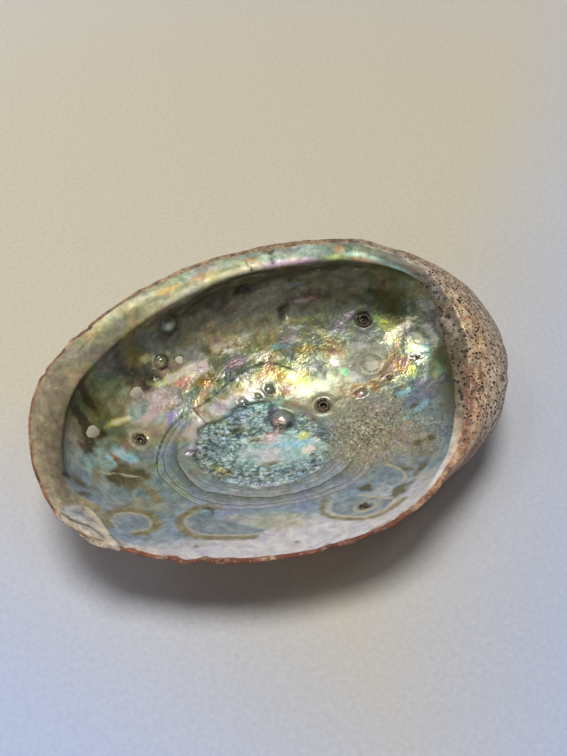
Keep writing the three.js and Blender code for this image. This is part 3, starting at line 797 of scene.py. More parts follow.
# Olive stains and the bands round old repairs, with cream lines inside them and plates of blue-grey nacre.
OLIVE_SPOTS = [
    (-83, -5, 2.8, 1.5, -25), (-84, -11, 1.6, 0.8, 0),
    (40, -33, 2.2, 3.0, 25), (31, -46, 5.0, 2.8, 35), (22, -36, 3.2, 2.0, -35), (44, -38, 6.5, 1.0, 40),
    (51, -22, 1.8, 1.5, 0), (56, -22, 1.5, 1.5, 0), (-39, -24, 1.6, 0.8, 0),
]
OLIVE_STAINS = [
    [(-68, 7), (-62, 5), (-57, 2.5), (-56, -3), (-60, -3.5), (-63, -8), (-69, -7), (-74.5, -2), (-71, 1)],
]
OLIVE_BANDS = [
    ([(-43, -23), (-52, -27), (-51, -37), (-45, -43), (-32, -47.5), (-27, -48)], 1.5),
    ([(5, -36), (0, -45), (10, -55), (20, -57), (30, -53)], 1.3),
    ([(-42, -22), (-36, -22), (-34, -26)], 0.7),
    ([(-61, -5), (-58, -9), (-56.5, -15)], 1.6),
]
CREAM_LINES = [
    [(-44, -25), (-50, -29), (-48.5, -36.5), (-43.5, -41.5), (-31, -46)],
    [(7, -38), (3, -45), (11, -53.5), (20, -55.5), (29, -51.5)],
    [(18, -39), (25, -46), (29, -52)],
    [(35, -27), (38, -31), (38.6, -35), (38, -39), (34, -41)],
    [(-75, 2.4), (-71.5, 0.4), (-68, 1.4), (-64, -1.2), (-60, -1.6)],
    [(38, -42), (45, -41), (52, -45)],
]
PLATES = [
    [(-43, -26), (-49, -30), (-47, -36), (-43, -41), (-30, -46), (-20, -46), (-28, -40), (-36, -33),
     (-38, -29)],
    [(8, -38), (4, -45), (11, -53), (20, -55), (28, -51), (24, -46), (19, -40)],
    [(30, -30), (35, -27), (38, -31), (38, -39), (34, -41), (28, -37)],
]
PALE_PLATES = [
    [(-36, -33), (-34, -30), (-20, -33), (-8, -38), (-5, -46), (-12, -49), (-20, -46), (-28, -40)],
    [(38, -42), (45, -41), (52, -45), (46, -48), (39, -46)],
]
# An old repair by the flaked corner: a band and a cream line round a pale middle, both open at one side.
REPAIR = (-68.5, -26.5)
REPAIR_RADII = (9.2, 7.8)
REPAIR_TILT = -20
REPAIR_BAND = 1.5  # half the band's width
REPAIR_INSET = 1.9  # from the band's middle to the cream line
REPAIR_GREY = "#c3c6cc"
PLATE_GREY = "#b9b6ae"
repair_mm = (ellipse(*REPAIR, *REPAIR_RADII, REPAIR_TILT) - 1) * min(REPAIR_RADII)
opening = around(-76, -34, 5, 3.5, -30)
olive = np.full(plan_x.shape, FAR_OFF)
for x, y, radius_x, radius_y, tilt in OLIVE_SPOTS:
    olive = np.minimum(olive, (ellipse(x, y, radius_x, radius_y, tilt) - 1) * min(radius_x, radius_y))
for outline in OLIVE_STAINS:
    olive = np.minimum(olive, from_plate(outline))
band = np.abs(repair_mm) - REPAIR_BAND + 4 * opening
for line, half_width in OLIVE_BANDS:
    band = np.minimum(band, from_line(line) - half_width)
cream = np.abs(repair_mm + REPAIR_INSET) + 4 * opening
for line in CREAM_LINES:
    cream = np.minimum(cream, from_line(line))
for x, y, radius, _ in CREAM_RINGED:
    _, off = hollow_spot(x, y)
    cream = np.minimum(cream, np.abs(off - 1.6 * radius))
plate = repair_mm + REPAIR_INSET
for outline in PLATES:
    plate = np.minimum(plate, from_plate(outline))
pale = np.full(plan_x.shape, FAR_OFF)
for outline in PALE_PLATES:
    pale = np.minimum(pale, from_plate(outline))
outside_cup = 50.0 * ~in_hollow  # added to a distance, it keeps a mark inside the hollow
paint(tone, PLATE_GREY, 0.7 * (1 - smooth_step(-1, 1, pale)) * in_hollow)
paint(tone, REPAIR_GREY, 0.8 * (1 - smooth_step(-1.5, 0, repair_mm + REPAIR_INSET)) * in_hollow)
for x, y, radius, _ in CREAM_RINGED:
    _, off = hollow_spot(x, y)
    paint(tone, TONES["sand"], 0.85 * bell(off, 1.8 * radius) * in_hollow)

# The scar's upper edge is a dark seam with green beside it, and another seam bounds the lobe under it.
SEAM_GREEN = "#7d8a4e"
SCAR_EDGE = [(-52, 4), (-47, 15), (-39, 22.5), (-31, 26), (-22.8, 28.6), (-14, 33.8), (-1.5, 39), (8, 38.8),
             (15, 35), (20, 29)]
scar_edge = from_line(SCAR_EDGE)
paint(tone, SEAM_GREEN, 0.6 * bell(scar_edge - 1.2, 1.2) * smooth_step(-0.3, 0.3, edge_noise) * in_hollow)
LOBE_LINE = [(-31, 27), (-27, 20), (-27, 13), (-30, 8)]
seam = np.minimum(scar_edge, from_line(LOBE_LINE))
# Pearls are grey with a dark line round them, and the borings' throats are nearly black, painted shade in the
# holes.
PEARL_GREY = "#8c8c84"
PEARL_LINE = "#3c382e"
THROAT_SHADE = "#1d1812"
on_pearl = np.zeros(form.shape[:2])
for centre, radius, _, darkness in PEARLS:
    _, off = hollow_spot(*centre)
    paint(tone, PEARL_LINE, darkness * bell(off - 1.05 * radius, 0.28 * radius) * in_hollow)
    paint(tone, PEARL_GREY, 0.7 * bell(off, 0.75 * radius) * in_hollow)
    inside = 1 - smooth_step(0.85, 1.05, off / radius)
    on_pearl = np.maximum(on_pearl, min(1, 1.5 * darkness) * inside * in_hollow)
# Painted highlights, the bright tints of the lamps that the pearls throw back: tone, place and radius.
PEARL_HIGHLIGHTS = [("coral", (2.6, 10), 2.2), ("cream", (3.2, 9.4), 1.0), ("pink", (39.6, 11.6), 1.3),
               ("sky", (-41, -26.4), 1.2), ("sea", (-32.4, 53.2, 37.2), 2.2),
               ("cream", (-32.8, 53.2, 37.6), 1.0), ("cream", (-38.8, 44.2), 0.9)]
for name, centre, radius in PEARL_HIGHLIGHTS:
    _, off = hollow_spot(*centre)
    paint(tone, TONES[name], 0.85 * bell(off, radius) * in_hollow)
for x, y, radius, _ in BORINGS:
    _, off = hollow_spot(x, y)
    paint(tone, THROAT_SHADE, 0.95 * (1 - smooth_step(0.8, 1.2, off / radius)) * in_hollow)
# Dark specks on the near side of the hollow and on the ledge: plan centre and radius.
SPECKS = [(-49, -47, 0.9), (-14, -58, 0.8), (-31, -48, 0.7), (-28, -48.5, 0.9), (-25, -44, 0.6),
          (-39, -24, 0.9), (-87, -4, 1.6), (15.5, 60, 1.0), (15.2, 57.5, 0.9), (17, 61, 0.7), (15.3, 56, 0.8),
          (46.5, 52, 0.8)]
off_the_wall = on_ledge | in_hollow & (plan_y < 40)
for x, y, radius in SPECKS:
    paint(tone, TONES["soot"], 0.9 * bell(np.hypot(plan_x - x, plan_y - y), radius) * off_the_wall)
# Fine dark scratches across the ledge.
SCRATCH_BROWN = "#2c261d"
SCRATCHES = [[(4, 61), (5, 58), (6.5, 55)], [(13, 62.5), (15.5, 60.5), (17, 58)], [(70, 33), (73, 30)]]
for line in SCRATCHES:
    paint(tone, SCRATCH_BROWN, 0.8 * bell(from_line(line), 0.4) * on_ledge)

# How strongly the play of colour shows. It is strongest in the crumpled band behind the scar.
# Each area changes it by the first number, round a plan centre with radii and tilt.
SHIMMER_AREAS = [(0.35, -10, 34, 58, 14, 5), (0.2, 62, 12, 16, 28), (-0.45, -46, 30, 15, 9, 28),
                 (-0.3, -10, 28, 20, 7, 15), (-0.45, -25, 41, 11, 4, 12)]
on_blister = around(49.5, 25, 7, 7)
shimmer = 0.45 - 0.2 * near_side - 0.1 * near_band - 0.3 * far_wall - 0.25 * front
for change, *area in SHIMMER_AREAS:
    shimmer += change * around(*area)
shimmer -= 0.3 * on_island + 0.35 * on_blister
shimmer = np.where(on_ledge, 0.45 * (1 - front) * (1 - near_band) * smooth_step(70, 50, plan_x), shimmer)
shimmer = np.clip(shimmer, 0.06, 0.95)
# The smooth middle of the island, the gritty side beside it, and how crumpled the nacre is.
smooth_middle = 1 - smooth_step(0.7, 1.25, ellipse(-2, -3, 18, 8.5, -8) + 0.35 * edge_noise)
grain = around(34, -7, 19, 18) * (1 - on_island)
grain = np.maximum(grain, 0.6 * around(56, -16, 16, 14, 50))
crumple = 0.15 + 0.8 * around(0, 38, 56, 12, 2) + 0.6 * around(56, 22, 18, 22)
in_scar_top = around(-8, 28.5, 20, 6.5, 14)
crumple = crumple * (1 - 0.8 * in_scar_top) * (1 - 0.7 * on_blister)
crumple = np.where(on_ledge, 0.2, np.clip(crumple - 0.15 * near_band, 0.05, 1))
crumple = np.maximum(crumple, spire_ledge)
crumple = np.maximum(crumple, 0.5 * far_wall)
# Where the nacre is crumpled like foil, which also sets where the painted glint flecks show: plan centre and
# radii.
FOIL = [(-7, 47, 9, 3), (8, 41, 9, 3), (-22, 41, 7, 3), (-34, 40, 8, 2), (35, 31, 4, 4), (63, 32, 8, 6),
        (68, 20, 5, 6), (-14, 37.5, 9, 1.8)]
foil = 0.3 * crumple * in_hollow
for area in FOIL:
    foil = np.maximum(foil, around(*area) * in_hollow)
# Roughness of the nacre and the clear gloss on it. The spire side of the hollow is the dullest.
dull_side = around(45, 30, 15, 12)
satin = 0.3 + 0.1 * near_band + 0.14 * front + 0.04 * far_wall + 0.16 * on_ledge
satin += 0.28 * dull_side * in_hollow - 0.15 * on_pearl
gloss = np.where(on_ledge, 0.05, 0.2 - 0.1 * front - 0.18 * dull_side)
gloss = np.maximum(gloss + 0.3 * foil, 0.9 * on_pearl)


def lay(tree, colour, *layers):
    """Lays colours over one another. Each has its share, a socket or hex code, and the way it blends."""
    for share, over, blend in layers:
        over = linear(over) if isinstance(over, str) else over
        colour = add(tree, "Mix", {0: share, 6: colour, 7: over}, out=2, data_type="RGBA", blend_type=blend)
    return colour


def pinholes(tree, place, colour, pits, spacing, sizes, depth, paleness, dark):
    """Lays the pinholes of boring sponge over a colour. Returns the colour and each point's share of hole.

    spacing is in millimetres, and sizes says how a hole's radius is drawn, as a share of that spacing. depth
    is the strength of the dark inside, and paleness that of the chalky edge."""
    hole = add(tree, "TexVoronoi", {"Vector": place, "Scale": per_mm(spacing)})
    cell = add(tree, "SeparateColor", {"Color": hole.node.outputs["Color"]}, out="Blue")
    size = add(tree, "MapRange", {"Value": cell, **sizes})
    radius = add(tree, "Math", {0: size, 1: pits}, operation="MULTIPLY")
    edge = add(tree, "Math", {0: radius, 1: hole}, operation="SUBTRACT")
    here = add(tree, "MapRange", {"Value": pits, "From Min": 0.1, "From Max": 0.35, "To Max": depth})
    inside = add(tree, "MapRange", {"Value": edge, "From Min": -0.05, "From Max": 0.06})
    hole_share = add(tree, "Math", {0: inside, 1: here}, operation="MULTIPLY")
    beside = add(tree, "MapRange", {"Value": edge, "From Min": -0.22, "From Max": -0.05, "To Max": paleness})
    edge_share = add(tree, "Math", {0: beside, 1: here}, operation="MULTIPLY")
    # The dark inside each hole is painted shade, standing in for the depth of the pit.
    return lay(tree, colour, (edge_share, "#c9bba4", "MIX"), (hole_share, dark, "MIX")), hole_share


# Nacre: glassy and a little metallic, with soft colours that drift from patch to patch.
nacre = bpy.data.materials.new("nacre")
nacre.use_nodes = True
tree = nacre.node_tree
finish = tree.nodes["Principled BSDF"]
place = add(tree, "TexCoord", out="Object")
NACRE_MARKS = ["shimmer", "crumple", "terrace", "ring", "island", "middle", "grain", "foil", "seam", "plate",
               "band", "olive", "cream", "pits", "satin", "gloss"]
marks = {name: add(tree, "Attribute", out="Fac", attribute_name=name) for name in NACRE_MARKS}

# The play of colour: soft drifting patches one to two centimetres across, broken up by finer ones.
FILM_COLOURS = ["#d3a4b4", "#d8ba8c", "#c8c98c", "#a9c6a4", "#9fbebc", "#a4b2d0", "#c0a9d0"]
FILM_START, FILM_END = 0.32, 0.68
DRIFT = 14.0  # how far the patches are drawn out of shape, in millimetres
drift = add(tree, "TexNoise", {"Vector": place, "Scale": per_mm(20), "Detail": 2.0}, out="Color")
bent = add(tree, "VectorMath", {0: drift, 1: (DRIFT * MM,) * 3, 2: place}, operation="MULTIPLY_ADD")
film = add(tree, "TexNoise", {"Vector": bent, "Scale": per_mm(15), "Detail": 4.0, "Roughness": 0.55})
film_stops = [(FILM_START + (FILM_END - FILM_START) * k / (len(FILM_COLOURS) - 1), code)
              for k, code in enumerate(FILM_COLOURS)]
film_colour = add(tree, "ValToRGB", {"Fac": film}, stops=film_stops)
tone_colour = add(tree, "Attribute", out="Color", attribute_name="tone")
cloud = add(tree, "TexNoise", {"Vector": bent, "Scale": per_mm(4), "Detail": 4.0, "Roughness": 0.65})
cloud_grey = add(tree, "ValToRGB", {"Fac": cloud}, stops=[
    (0.3, "#8c8c88"), (0.5, "#bcbcbc"), (0.72, "#eae8e4")])
speckle = add(tree, "TexNoise", {"Vector": place, "Scale": per_mm(1.4), "Detail": 4.0, "Roughness": 0.7})
speckle_grey = add(tree, "ValToRGB", {"Fac": speckle}, stops=[
    (0.3, "#8e8c86"), (0.5, "#bcbcbc"), (0.7, "#e6e4de")])
colour = lay(tree, tone_colour, (0.8, cloud_grey, "OVERLAY"), (marks["crumple"], speckle_grey, "OVERLAY"),
             (marks["shimmer"], film_colour, "OVERLAY"))

# Terraces round the scar: thin dark edges of the layers with pale rims.
wander = add(tree, "TexNoise", {"Vector": place, "Scale": per_mm(7), "Detail": 3.0})
layers = add(tree, "Math", {0: wander, 1: 0.9, 2: marks["terrace"]}, operation="MULTIPLY_ADD")
layer_part = add(tree, "Math", {0: layers}, operation="FRACT")
layer_number = add(tree, "Math", {0: layers}, operation="FLOOR")
layer_pick = add(tree, "TexWhiteNoise", {"W": layer_number}, noise_dimensions="1D")
layer_grey = add(tree, "ValToRGB", {"Fac": layer_pick}, stops=[(0.0, "#a2a4a2"), (1.0, "#d4d0d6")])
layer_strength = add(tree, "MapRange", {"Value": cloud, "From Min": 0.3, "From Max": 0.55, "To Min": 0.45})
layer_line = add(tree, "MapRange", {"Value": layer_part, "From Min": 0.3, "From Max": 0.02, "To Max": 0.75})
layer_edge = add(tree, "Math", {0: layer_line, 1: layer_strength}, operation="MULTIPLY")
layer_dark = add(tree, "Math", {0: layer_edge, 1: marks["ring"]}, operation="MULTIPLY")
layer_crest = add(tree, "MapRange", {"Value": layer_part, "From Min": 0.75, "From Max": 0.98, "To Max": 0.4})
layer_pale = add(tree, "Math", {0: layer_crest, 1: marks["ring"]}, operation="MULTIPLY")
colour = lay(tree, colour, (marks["ring"], layer_grey, "OVERLAY"), (layer_dark, "#45433c", "MIX"),
             (layer_pale, "#c9c8c2", "MIX"))

# The rough island of the scar: crumpled scales of nacre a millimetre or two across. Their high parts are
# painted light as highlights, and the gaps between them dark as painted shade.
JOSTLE = 3.0  # how far the scales are pushed out of line, in millimetres
SCALE_STRETCH = (0.6, 1.0, 1.0)  # they are longer along x
jostle = add(tree, "TexNoise", {"Vector": place, "Scale": per_mm(3), "Detail": 3.0}, out="Color")
jostled = add(tree, "VectorMath", {0: jostle, 1: (JOSTLE * MM,) * 3, 2: place}, operation="MULTIPLY_ADD")
drawn_out = add(tree, "VectorMath", {0: jostled, 1: SCALE_STRETCH}, operation="MULTIPLY")
scales = add(tree, "TexNoise", {"Vector": drawn_out, "Scale": per_mm(1.7), "Detail": 3.0, "Roughness": 0.6})
scale_light_and_shade = add(tree, "ValToRGB", {"Fac": scales}, stops=[
    (0.34, "#525c62"), (0.44, "#989fa2"), (0.52, "#bcbdbe"), (0.62, "#eaecec"), (0.7, "#fcfcfa")])
island_share = add(tree, "MapRange", {"Value": marks["island"], "From Min": 1.2, "From Max": -1.2})
rough_share = add(tree, "Math", {0: island_share, 1: marks["middle"]}, operation="SUBTRACT", use_clamp=True)
scale_tint = add(tree, "TexVoronoi", {"Vector": drawn_out, "Scale": per_mm(2.6)}, out="Color")
scale_pick = add(tree, "SeparateColor", {"Color": scale_tint}, out="Red")
scale_colour = add(tree, "ValToRGB", {"Fac": scale_pick}, stops=[
    (0.0, "#bac0b2"), (0.3, "#b8c4ca"), (0.55, "#c4c4c4"), (0.75, "#b8c4bc"), (1.0, "#c8c0ac")])
gap = add(tree, "TexVoronoi", {"Vector": drawn_out, "Scale": per_mm(1.9)}, feature="DISTANCE_TO_EDGE")
gap_shade_depth = add(tree, "MapRange", {"Value": gap, "From Min": 0.14, "From Max": 0.0, "To Max": 0.62})
gap_shade_share = add(tree, "Math", {0: gap_shade_depth, 1: rough_share}, operation="MULTIPLY")
colour = lay(tree, colour, (rough_share, scale_light_and_shade, "OVERLAY"), (rough_share, scale_colour, "OVERLAY"),
             (gap_shade_share, "#2b3435", "MIX"))

# Fine grit beside the island.
grit = add(tree, "TexVoronoi", {"Vector": jostled, "Scale": per_mm(0.7)}, out="Color")
grit_pick = add(tree, "SeparateColor", {"Color": grit}, out="Green")
grit_colour = add(tree, "ValToRGB", {"Fac": grit_pick}, stops=[
    (0.0, "#3a3328"), (0.25, "#6f6754"), (0.5, "#a49e88"), (0.68, "#929f98"), (0.86, "#bab5a2"),
    (1.0, "#eae6d8")])
grit_share = add(tree, "Math", {0: marks["grain"], 1: 0.8}, operation="MULTIPLY")

# White flecks, which are painted glints, and dark cracks where the nacre is crumpled like foil.
fleck = add(tree, "TexNoise", {"Vector": drawn_out, "Scale": per_mm(1.5), "Detail": 3.0, "Roughness": 0.6})
fleck_chance = add(tree, "Math", {0: marks["foil"], 1: 0.24, 2: fleck}, operation="MULTIPLY_ADD")
fleck_glint_share = add(tree, "MapRange", {
    "Value": fleck_chance, "From Min": 0.72, "From Max": 0.76, "To Max": 0.9})
crack_chance = add(tree, "Math", {0: marks["foil"], 1: -0.16, 2: fleck}, operation="MULTIPLY_ADD")
crack_share = add(tree, "MapRange", {"Value": crack_chance, "From Min": 0.3, "From Max": 0.25, "To Max": 0.6})
colour = lay(tree, colour, (grit_share, grit_colour, "MIX"), (fleck_glint_share, "#f4efe2", "MIX"),
             (crack_share, "#4a4636", "MIX"))

# Seams, blue-grey plates, tan bands, olive stains and cream lines. Most edges wander by half a millimetre or
# less, and those of the olive stains bulge by up to a millimetre and a half.
STRAY = 0.5
BULGE = 1.5
stray = add(tree, "TexNoise", {"Vector": place, "Scale": per_mm(2.5), "Detail": 3.0})
stray_mm = add(tree, "MapRange", {
    "Value": stray, "From Min": 0.25, "From Max": 0.75, "To Min": -STRAY, "To Max": STRAY})
seam_edge = add(tree, "Math", {0: stray_mm, 1: 0.5, 2: marks["seam"]}, operation="MULTIPLY_ADD")
seam_share = add(tree, "MapRange", {"Value": seam_edge, "From Min": 0.72, "From Max": 0.3, "To Max": 0.65})
plate_share = add(tree, "MapRange", {
    "Value": marks["plate"], "From Min": 0.4, "From Max": -0.4, "To Max": 0.85})
plate_colour = add(tree, "ValToRGB", {"Fac": cloud}, stops=[
    (0.3, "#6a7b8a"), (0.5, "#82929c"), (0.7, "#a4adb0")])
band_edge = add(tree, "Math", {0: marks["band"], 1: stray_mm}, operation="ADD")
band_share = add(tree, "MapRange", {"Value": band_edge, "From Min": 0.7, "From Max": -0.7, "To Max": 0.9})
band_colour = add(tree, "ValToRGB", {"Fac": cloud}, stops=[
    (0.3, "#6f684a"), (0.5, "#8a8160"), (0.7, "#a39a7a")])
bulge_mm = add(tree, "MapRange", {
    "Value": wander, "From Min": 0.3, "From Max": 0.7, "To Min": -BULGE, "To Max": BULGE})
bulged_mm = add(tree, "Math", {0: marks["olive"], 1: bulge_mm}, operation="ADD")
olive_edge = add(tree, "Math", {0: stray_mm, 1: 0.6, 2: bulged_mm}, operation="MULTIPLY_ADD")
olive_share = add(tree, "MapRange", {"Value": olive_edge, "From Min": 0.9, "From Max": -1.1, "To Max": 0.9})
olive_colour = add(tree, "ValToRGB", {"Fac": cloud}, stops=[
    (0.3, "#454024"), (0.5, "#5c5534"), (0.7, "#766e48")])
cream_edge = add(tree, "Math", {0: stray_mm, 1: marks["cream"]}, operation="ADD")
cream_share = add(tree, "MapRange", {"Value": cream_edge, "From Min": 0.75, "From Max": 0.25, "To Max": 0.8})
colour = lay(tree, colour, (seam_share, "#3a352a", "MIX"), (plate_share, plate_colour, "MIX"),
             (band_share, band_colour, "MIX"), (olive_share, olive_colour, "MIX"),
             (cream_share, "#bfb69e", "MIX"))

# Pinholes, thick on the ledge at the spire end.
colour, hole_share = pinholes(tree, place, colour, marks["pits"], spacing=1.9, depth=0.92, paleness=0.15,
                              sizes={"From Min": 0.1, "From Max": 0.6, "To Max": 0.4}, dark="#241b14")

# Stains and grit are duller than the rest. Scales, grit, layers and pinholes stand out a little.
dulled = add(tree, "Math", {0: olive_share, 1: 0.22, 2: marks["satin"]}, operation="MULTIPLY_ADD")
roughness = add(tree, "Math", {0: marks["grain"], 1: 0.1, 2: dulled}, operation="MULTIPLY_ADD")
metallic = add(tree, "Math", {0: marks["shimmer"], 1: 0.6}, operation="MULTIPLY")
ripple = add(tree, "TexNoise", {"Vector": bent, "Scale": per_mm(5), "Detail": 3.0, "Roughness": 0.55})
normal = add(tree, "Bump", {"Height": ripple, "Strength": marks["crumple"], "Distance": 1.4 * MM})
for height, share, strength, depth in [
    (scales, rough_share, 0.9, 1.2),
    (grit_pick, marks["grain"], 0.6, 0.4),
    (layer_part, marks["ring"], 0.5, 0.3),
]:
    raised = add(tree, "Math", {0: height, 1: share}, operation="MULTIPLY")
    normal = add(tree, "Bump", {
        "Height": raised, "Strength": strength, "Distance": depth * MM, "Normal": normal})
normal = add(tree, "Bump", {"Height": hole_share, "Strength": 0.8, "Distance": 0.6 * MM, "Normal": normal},
             invert=True)
tree.links.new(colour, finish.inputs["Base Color"])
tree.links.new(roughness, finish.inputs["Roughness"])
tree.links.new(metallic, finish.inputs["Metallic"])
tree.links.new(marks["gloss"], finish.inputs["Coat Weight"])
tree.links.new(normal, finish.inputs["Normal"])
finish.inputs["Specular IOR Level"].default_value = 0.35
finish.inputs["Coat Roughness"].default_value = 0.12

# Calcite crust
# The outer layer is chalky calcite, red-brown where it is fresh at the rim and tan to lilac-grey where it is
# old. Boring sponge has pitted it, and fine growth lines follow the old lip.
CRUST_BROWN = "#8a6a58"
CRUST_TAN = "#a98d73"
CRUST_RED = "#84463a"
CRUST_GREY = "#9a9094"
RIM_CHALK = "#c7b298"
RIM_BROWN = "#4c3328"
SPIRE_CREAM = "#bfb4a6"
RIM_ROWS = 12  # rows of the back that take the rim's colours
crust_tone = np.empty(form.shape)
crust_tone[:] = linear(CRUST_BROWN)[:3]
full_stage = np.ones(form.shape[:2])
full_stage[:, on_back] = stage
band_part = 0.5 + 0.5 * np.cos(2 * math.pi * GROWTH_BANDS * full_stage + 2.5 * lumps(form, 22, 15))
paint(crust_tone, CRUST_TAN, 0.75 * band_part)
paint(crust_tone, CRUST_RED, 0.6 * (1 - band_part) * smooth_step(0.45, 0.85, full_stage))
bleached = smooth_step(0.75, 0.4, full_stage) * smooth_step(-0.3, 0.4, lumps(form, 18, 16))
paint(crust_tone, CRUST_GREY, 0.7 * bleached)
rim_near = near_rim * (row >= rim_row - RIM_ROWS)
crust_tone += (rim_tone - crust_tone) * (0.92 * rim_near)[..., None]
paint(crust_tone, RIM_CHALK, 0.75 * rim_near * smooth_step(0.12, 0.35, lumps(form, 5, 24)))
paint(crust_tone, RIM_BROWN, 0.6 * rim_near * smooth_step(0.1, 0.35, lumps(form, 4, 32)))
spire_rim = smooth_step(50, 66, plan_x) * smooth_step(-50, -30, plan_y)
rim_gap = np.linalg.norm(form - rim_line, axis=-1)
paint(crust_tone, SPIRE_CREAM, 0.85 * spire_rim * smooth_step(2, 6, rim_gap))
paint(crust_tone, STREAK_RED, STREAK_STRENGTH * red_streak)
paint_flake(crust_tone)
# How thick the pinholes are: on the old part of the back, at the spire end and on the ledge there.
pits = np.where(on_back, 0.55 + 0.6 * smooth_step(0.8, 0.4, full_stage), 0.0)
pits = pits * smooth_step(-0.25, 0.25, lumps(form, 30, 17) + 0.1)
pits = np.maximum(pits, 1.15 * smooth_step(52, 68, plan_x) * (row <= strip_row))
pits = np.maximum(pits, 0.75 * smooth_step(38, 60, plan_x) * smooth_step(40, 0, plan_y) * (row <= strip_row))
pits = np.maximum(pits, spire_ledge)
pits = np.maximum(pits, 0.5 * around(52, 5, 18, 26) * in_hollow)

# Crust: matt and mottled like old plaster, with dark pinholes, fine growth lines and pale flakes.
crust = bpy.data.materials.new("calcite_crust")
crust.use_nodes = True
tree = crust.node_tree
finish = tree.nodes["Principled BSDF"]
place = add(tree, "TexCoord", out="Object")
CRUST_MARKS = ["pits", "from_rim", "flaky", "growth"]
marks = {name: add(tree, "Attribute", out="Fac", attribute_name=name) for name in CRUST_MARKS}
tone_colour = add(tree, "Attribute", out="Color", attribute_name="crust_tone")
mottle = add(tree, "TexNoise", {"Vector": place, "Scale": per_mm(3.5), "Detail": 6.0, "Roughness": 0.7})
mottle_grey = add(tree, "ValToRGB", {"Fac": mottle}, stops=[
    (0.3, "#79726b"), (0.5, "#c0bebb"), (0.7, "#f6f1e8")])
chips = add(tree, "TexNoise", {"Vector": place, "Scale": per_mm(1.2), "Detail": 4.0, "Roughness": 0.7})
chip_grey = add(tree, "ValToRGB", {"Fac": chips}, stops=[
    (0.32, "#746c62"), (0.5, "#bcbcbc"), (0.68, "#efe9de")])
# Flakes at the spire end lie along the rim, a few millimetres apart.
FLAKE_SPACING = 3.6
FLAKE_SWAY = 7.0
sway = add(tree, "TexNoise", {"Vector": place, "Scale": per_mm(6), "Detail": 3.0})
flake_run = add(tree, "Math", {0: sway, 1: FLAKE_SWAY, 2: marks["from_rim"]}, operation="MULTIPLY_ADD")
flake_turn = add(tree, "Math", {0: flake_run, 1: 2 * math.pi / FLAKE_SPACING}, operation="MULTIPLY")
flake_wave = add(tree, "Math", {0: flake_turn}, operation="SINE")
flake_line = add(tree, "MapRange", {"Value": flake_wave, "From Min": 0.8, "From Max": 0.98, "To Max": 0.6})
flake_share = add(tree, "Math", {0: flake_line, 1: marks["flaky"]}, operation="MULTIPLY")
flake_gap = add(tree, "MapRange", {"Value": flake_wave, "From Min": -0.8, "From Max": -0.98, "To Max": 0.5})
flake_gap_share = add(tree, "Math", {0: flake_gap, 1: marks["flaky"]}, operation="MULTIPLY")
# Growth lines follow the old lip. They are drawn coarser than real ones, which are too fine to show.
LINE_TURNS = 170.0  # radians of the lines' wave over the whole growth
growth_lines = add(tree, "Math", {0: marks["growth"], 1: LINE_TURNS}, operation="MULTIPLY")
growth_wander = add(tree, "Math", {0: mottle, 1: 2.5, 2: growth_lines}, operation="MULTIPLY_ADD")
growth_wave = add(tree, "Math", {0: growth_wander}, operation="SINE")
line_share = add(tree, "MapRange", {"Value": growth_wave, "From Min": 0.2, "From Max": 1.0, "To Max": 0.3})
chalk_share = add(tree, "MapRange", {"Value": growth_wave, "From Min": -0.6, "From Max": -1.0, "To Max": 0.4})
grit = add(tree, "TexVoronoi", {"Vector": place, "Scale": per_mm(1.1)}, out="Color")
grit_pick = add(tree, "SeparateColor", {"Color": grit}, out="Red")
pale_speck = add(tree, "MapRange", {"Value": grit_pick, "From Min": 0.86, "From Max": 1.0, "To Max": 0.3})
colour = lay(tree, tone_colour, (0.85, mottle_grey, "OVERLAY"), (0.8, chip_grey, "OVERLAY"),
             (flake_share, "#e2d8c2", "MIX"), (flake_gap_share, "#5c4636", "MIX"),
             (line_share, "#5a3a30", "MIX"), (chalk_share, "#d3c8b6", "MIX"), (pale_speck, "#d0c4b2", "MIX"))
colour, hole_share = pinholes(tree, place, colour, marks["pits"], spacing=1.25, depth=0.95, paleness=0.4,
                              sizes={"From Min": 0.05, "To Min": 0.1, "To Max": 0.42}, dark="#251a14")
normal = add(tree, "Bump", {"Height": mottle, "Strength": 0.7, "Distance": 0.8 * MM})
normal = add(tree, "Bump", {"Height": growth_wave, "Strength": 0.4, "Distance": 0.2 * MM, "Normal": normal})
normal = add(tree, "Bump", {"Height": hole_share, "Strength": 0.9, "Distance": 0.9 * MM, "Normal": normal},
             invert=True)
tree.links.new(colour, finish.inputs["Base Color"])
tree.links.new(normal, finish.inputs["Normal"])
finish.inputs["Roughness"].default_value = 0.62
finish.inputs["Specular IOR Level"].default_value = 0.35

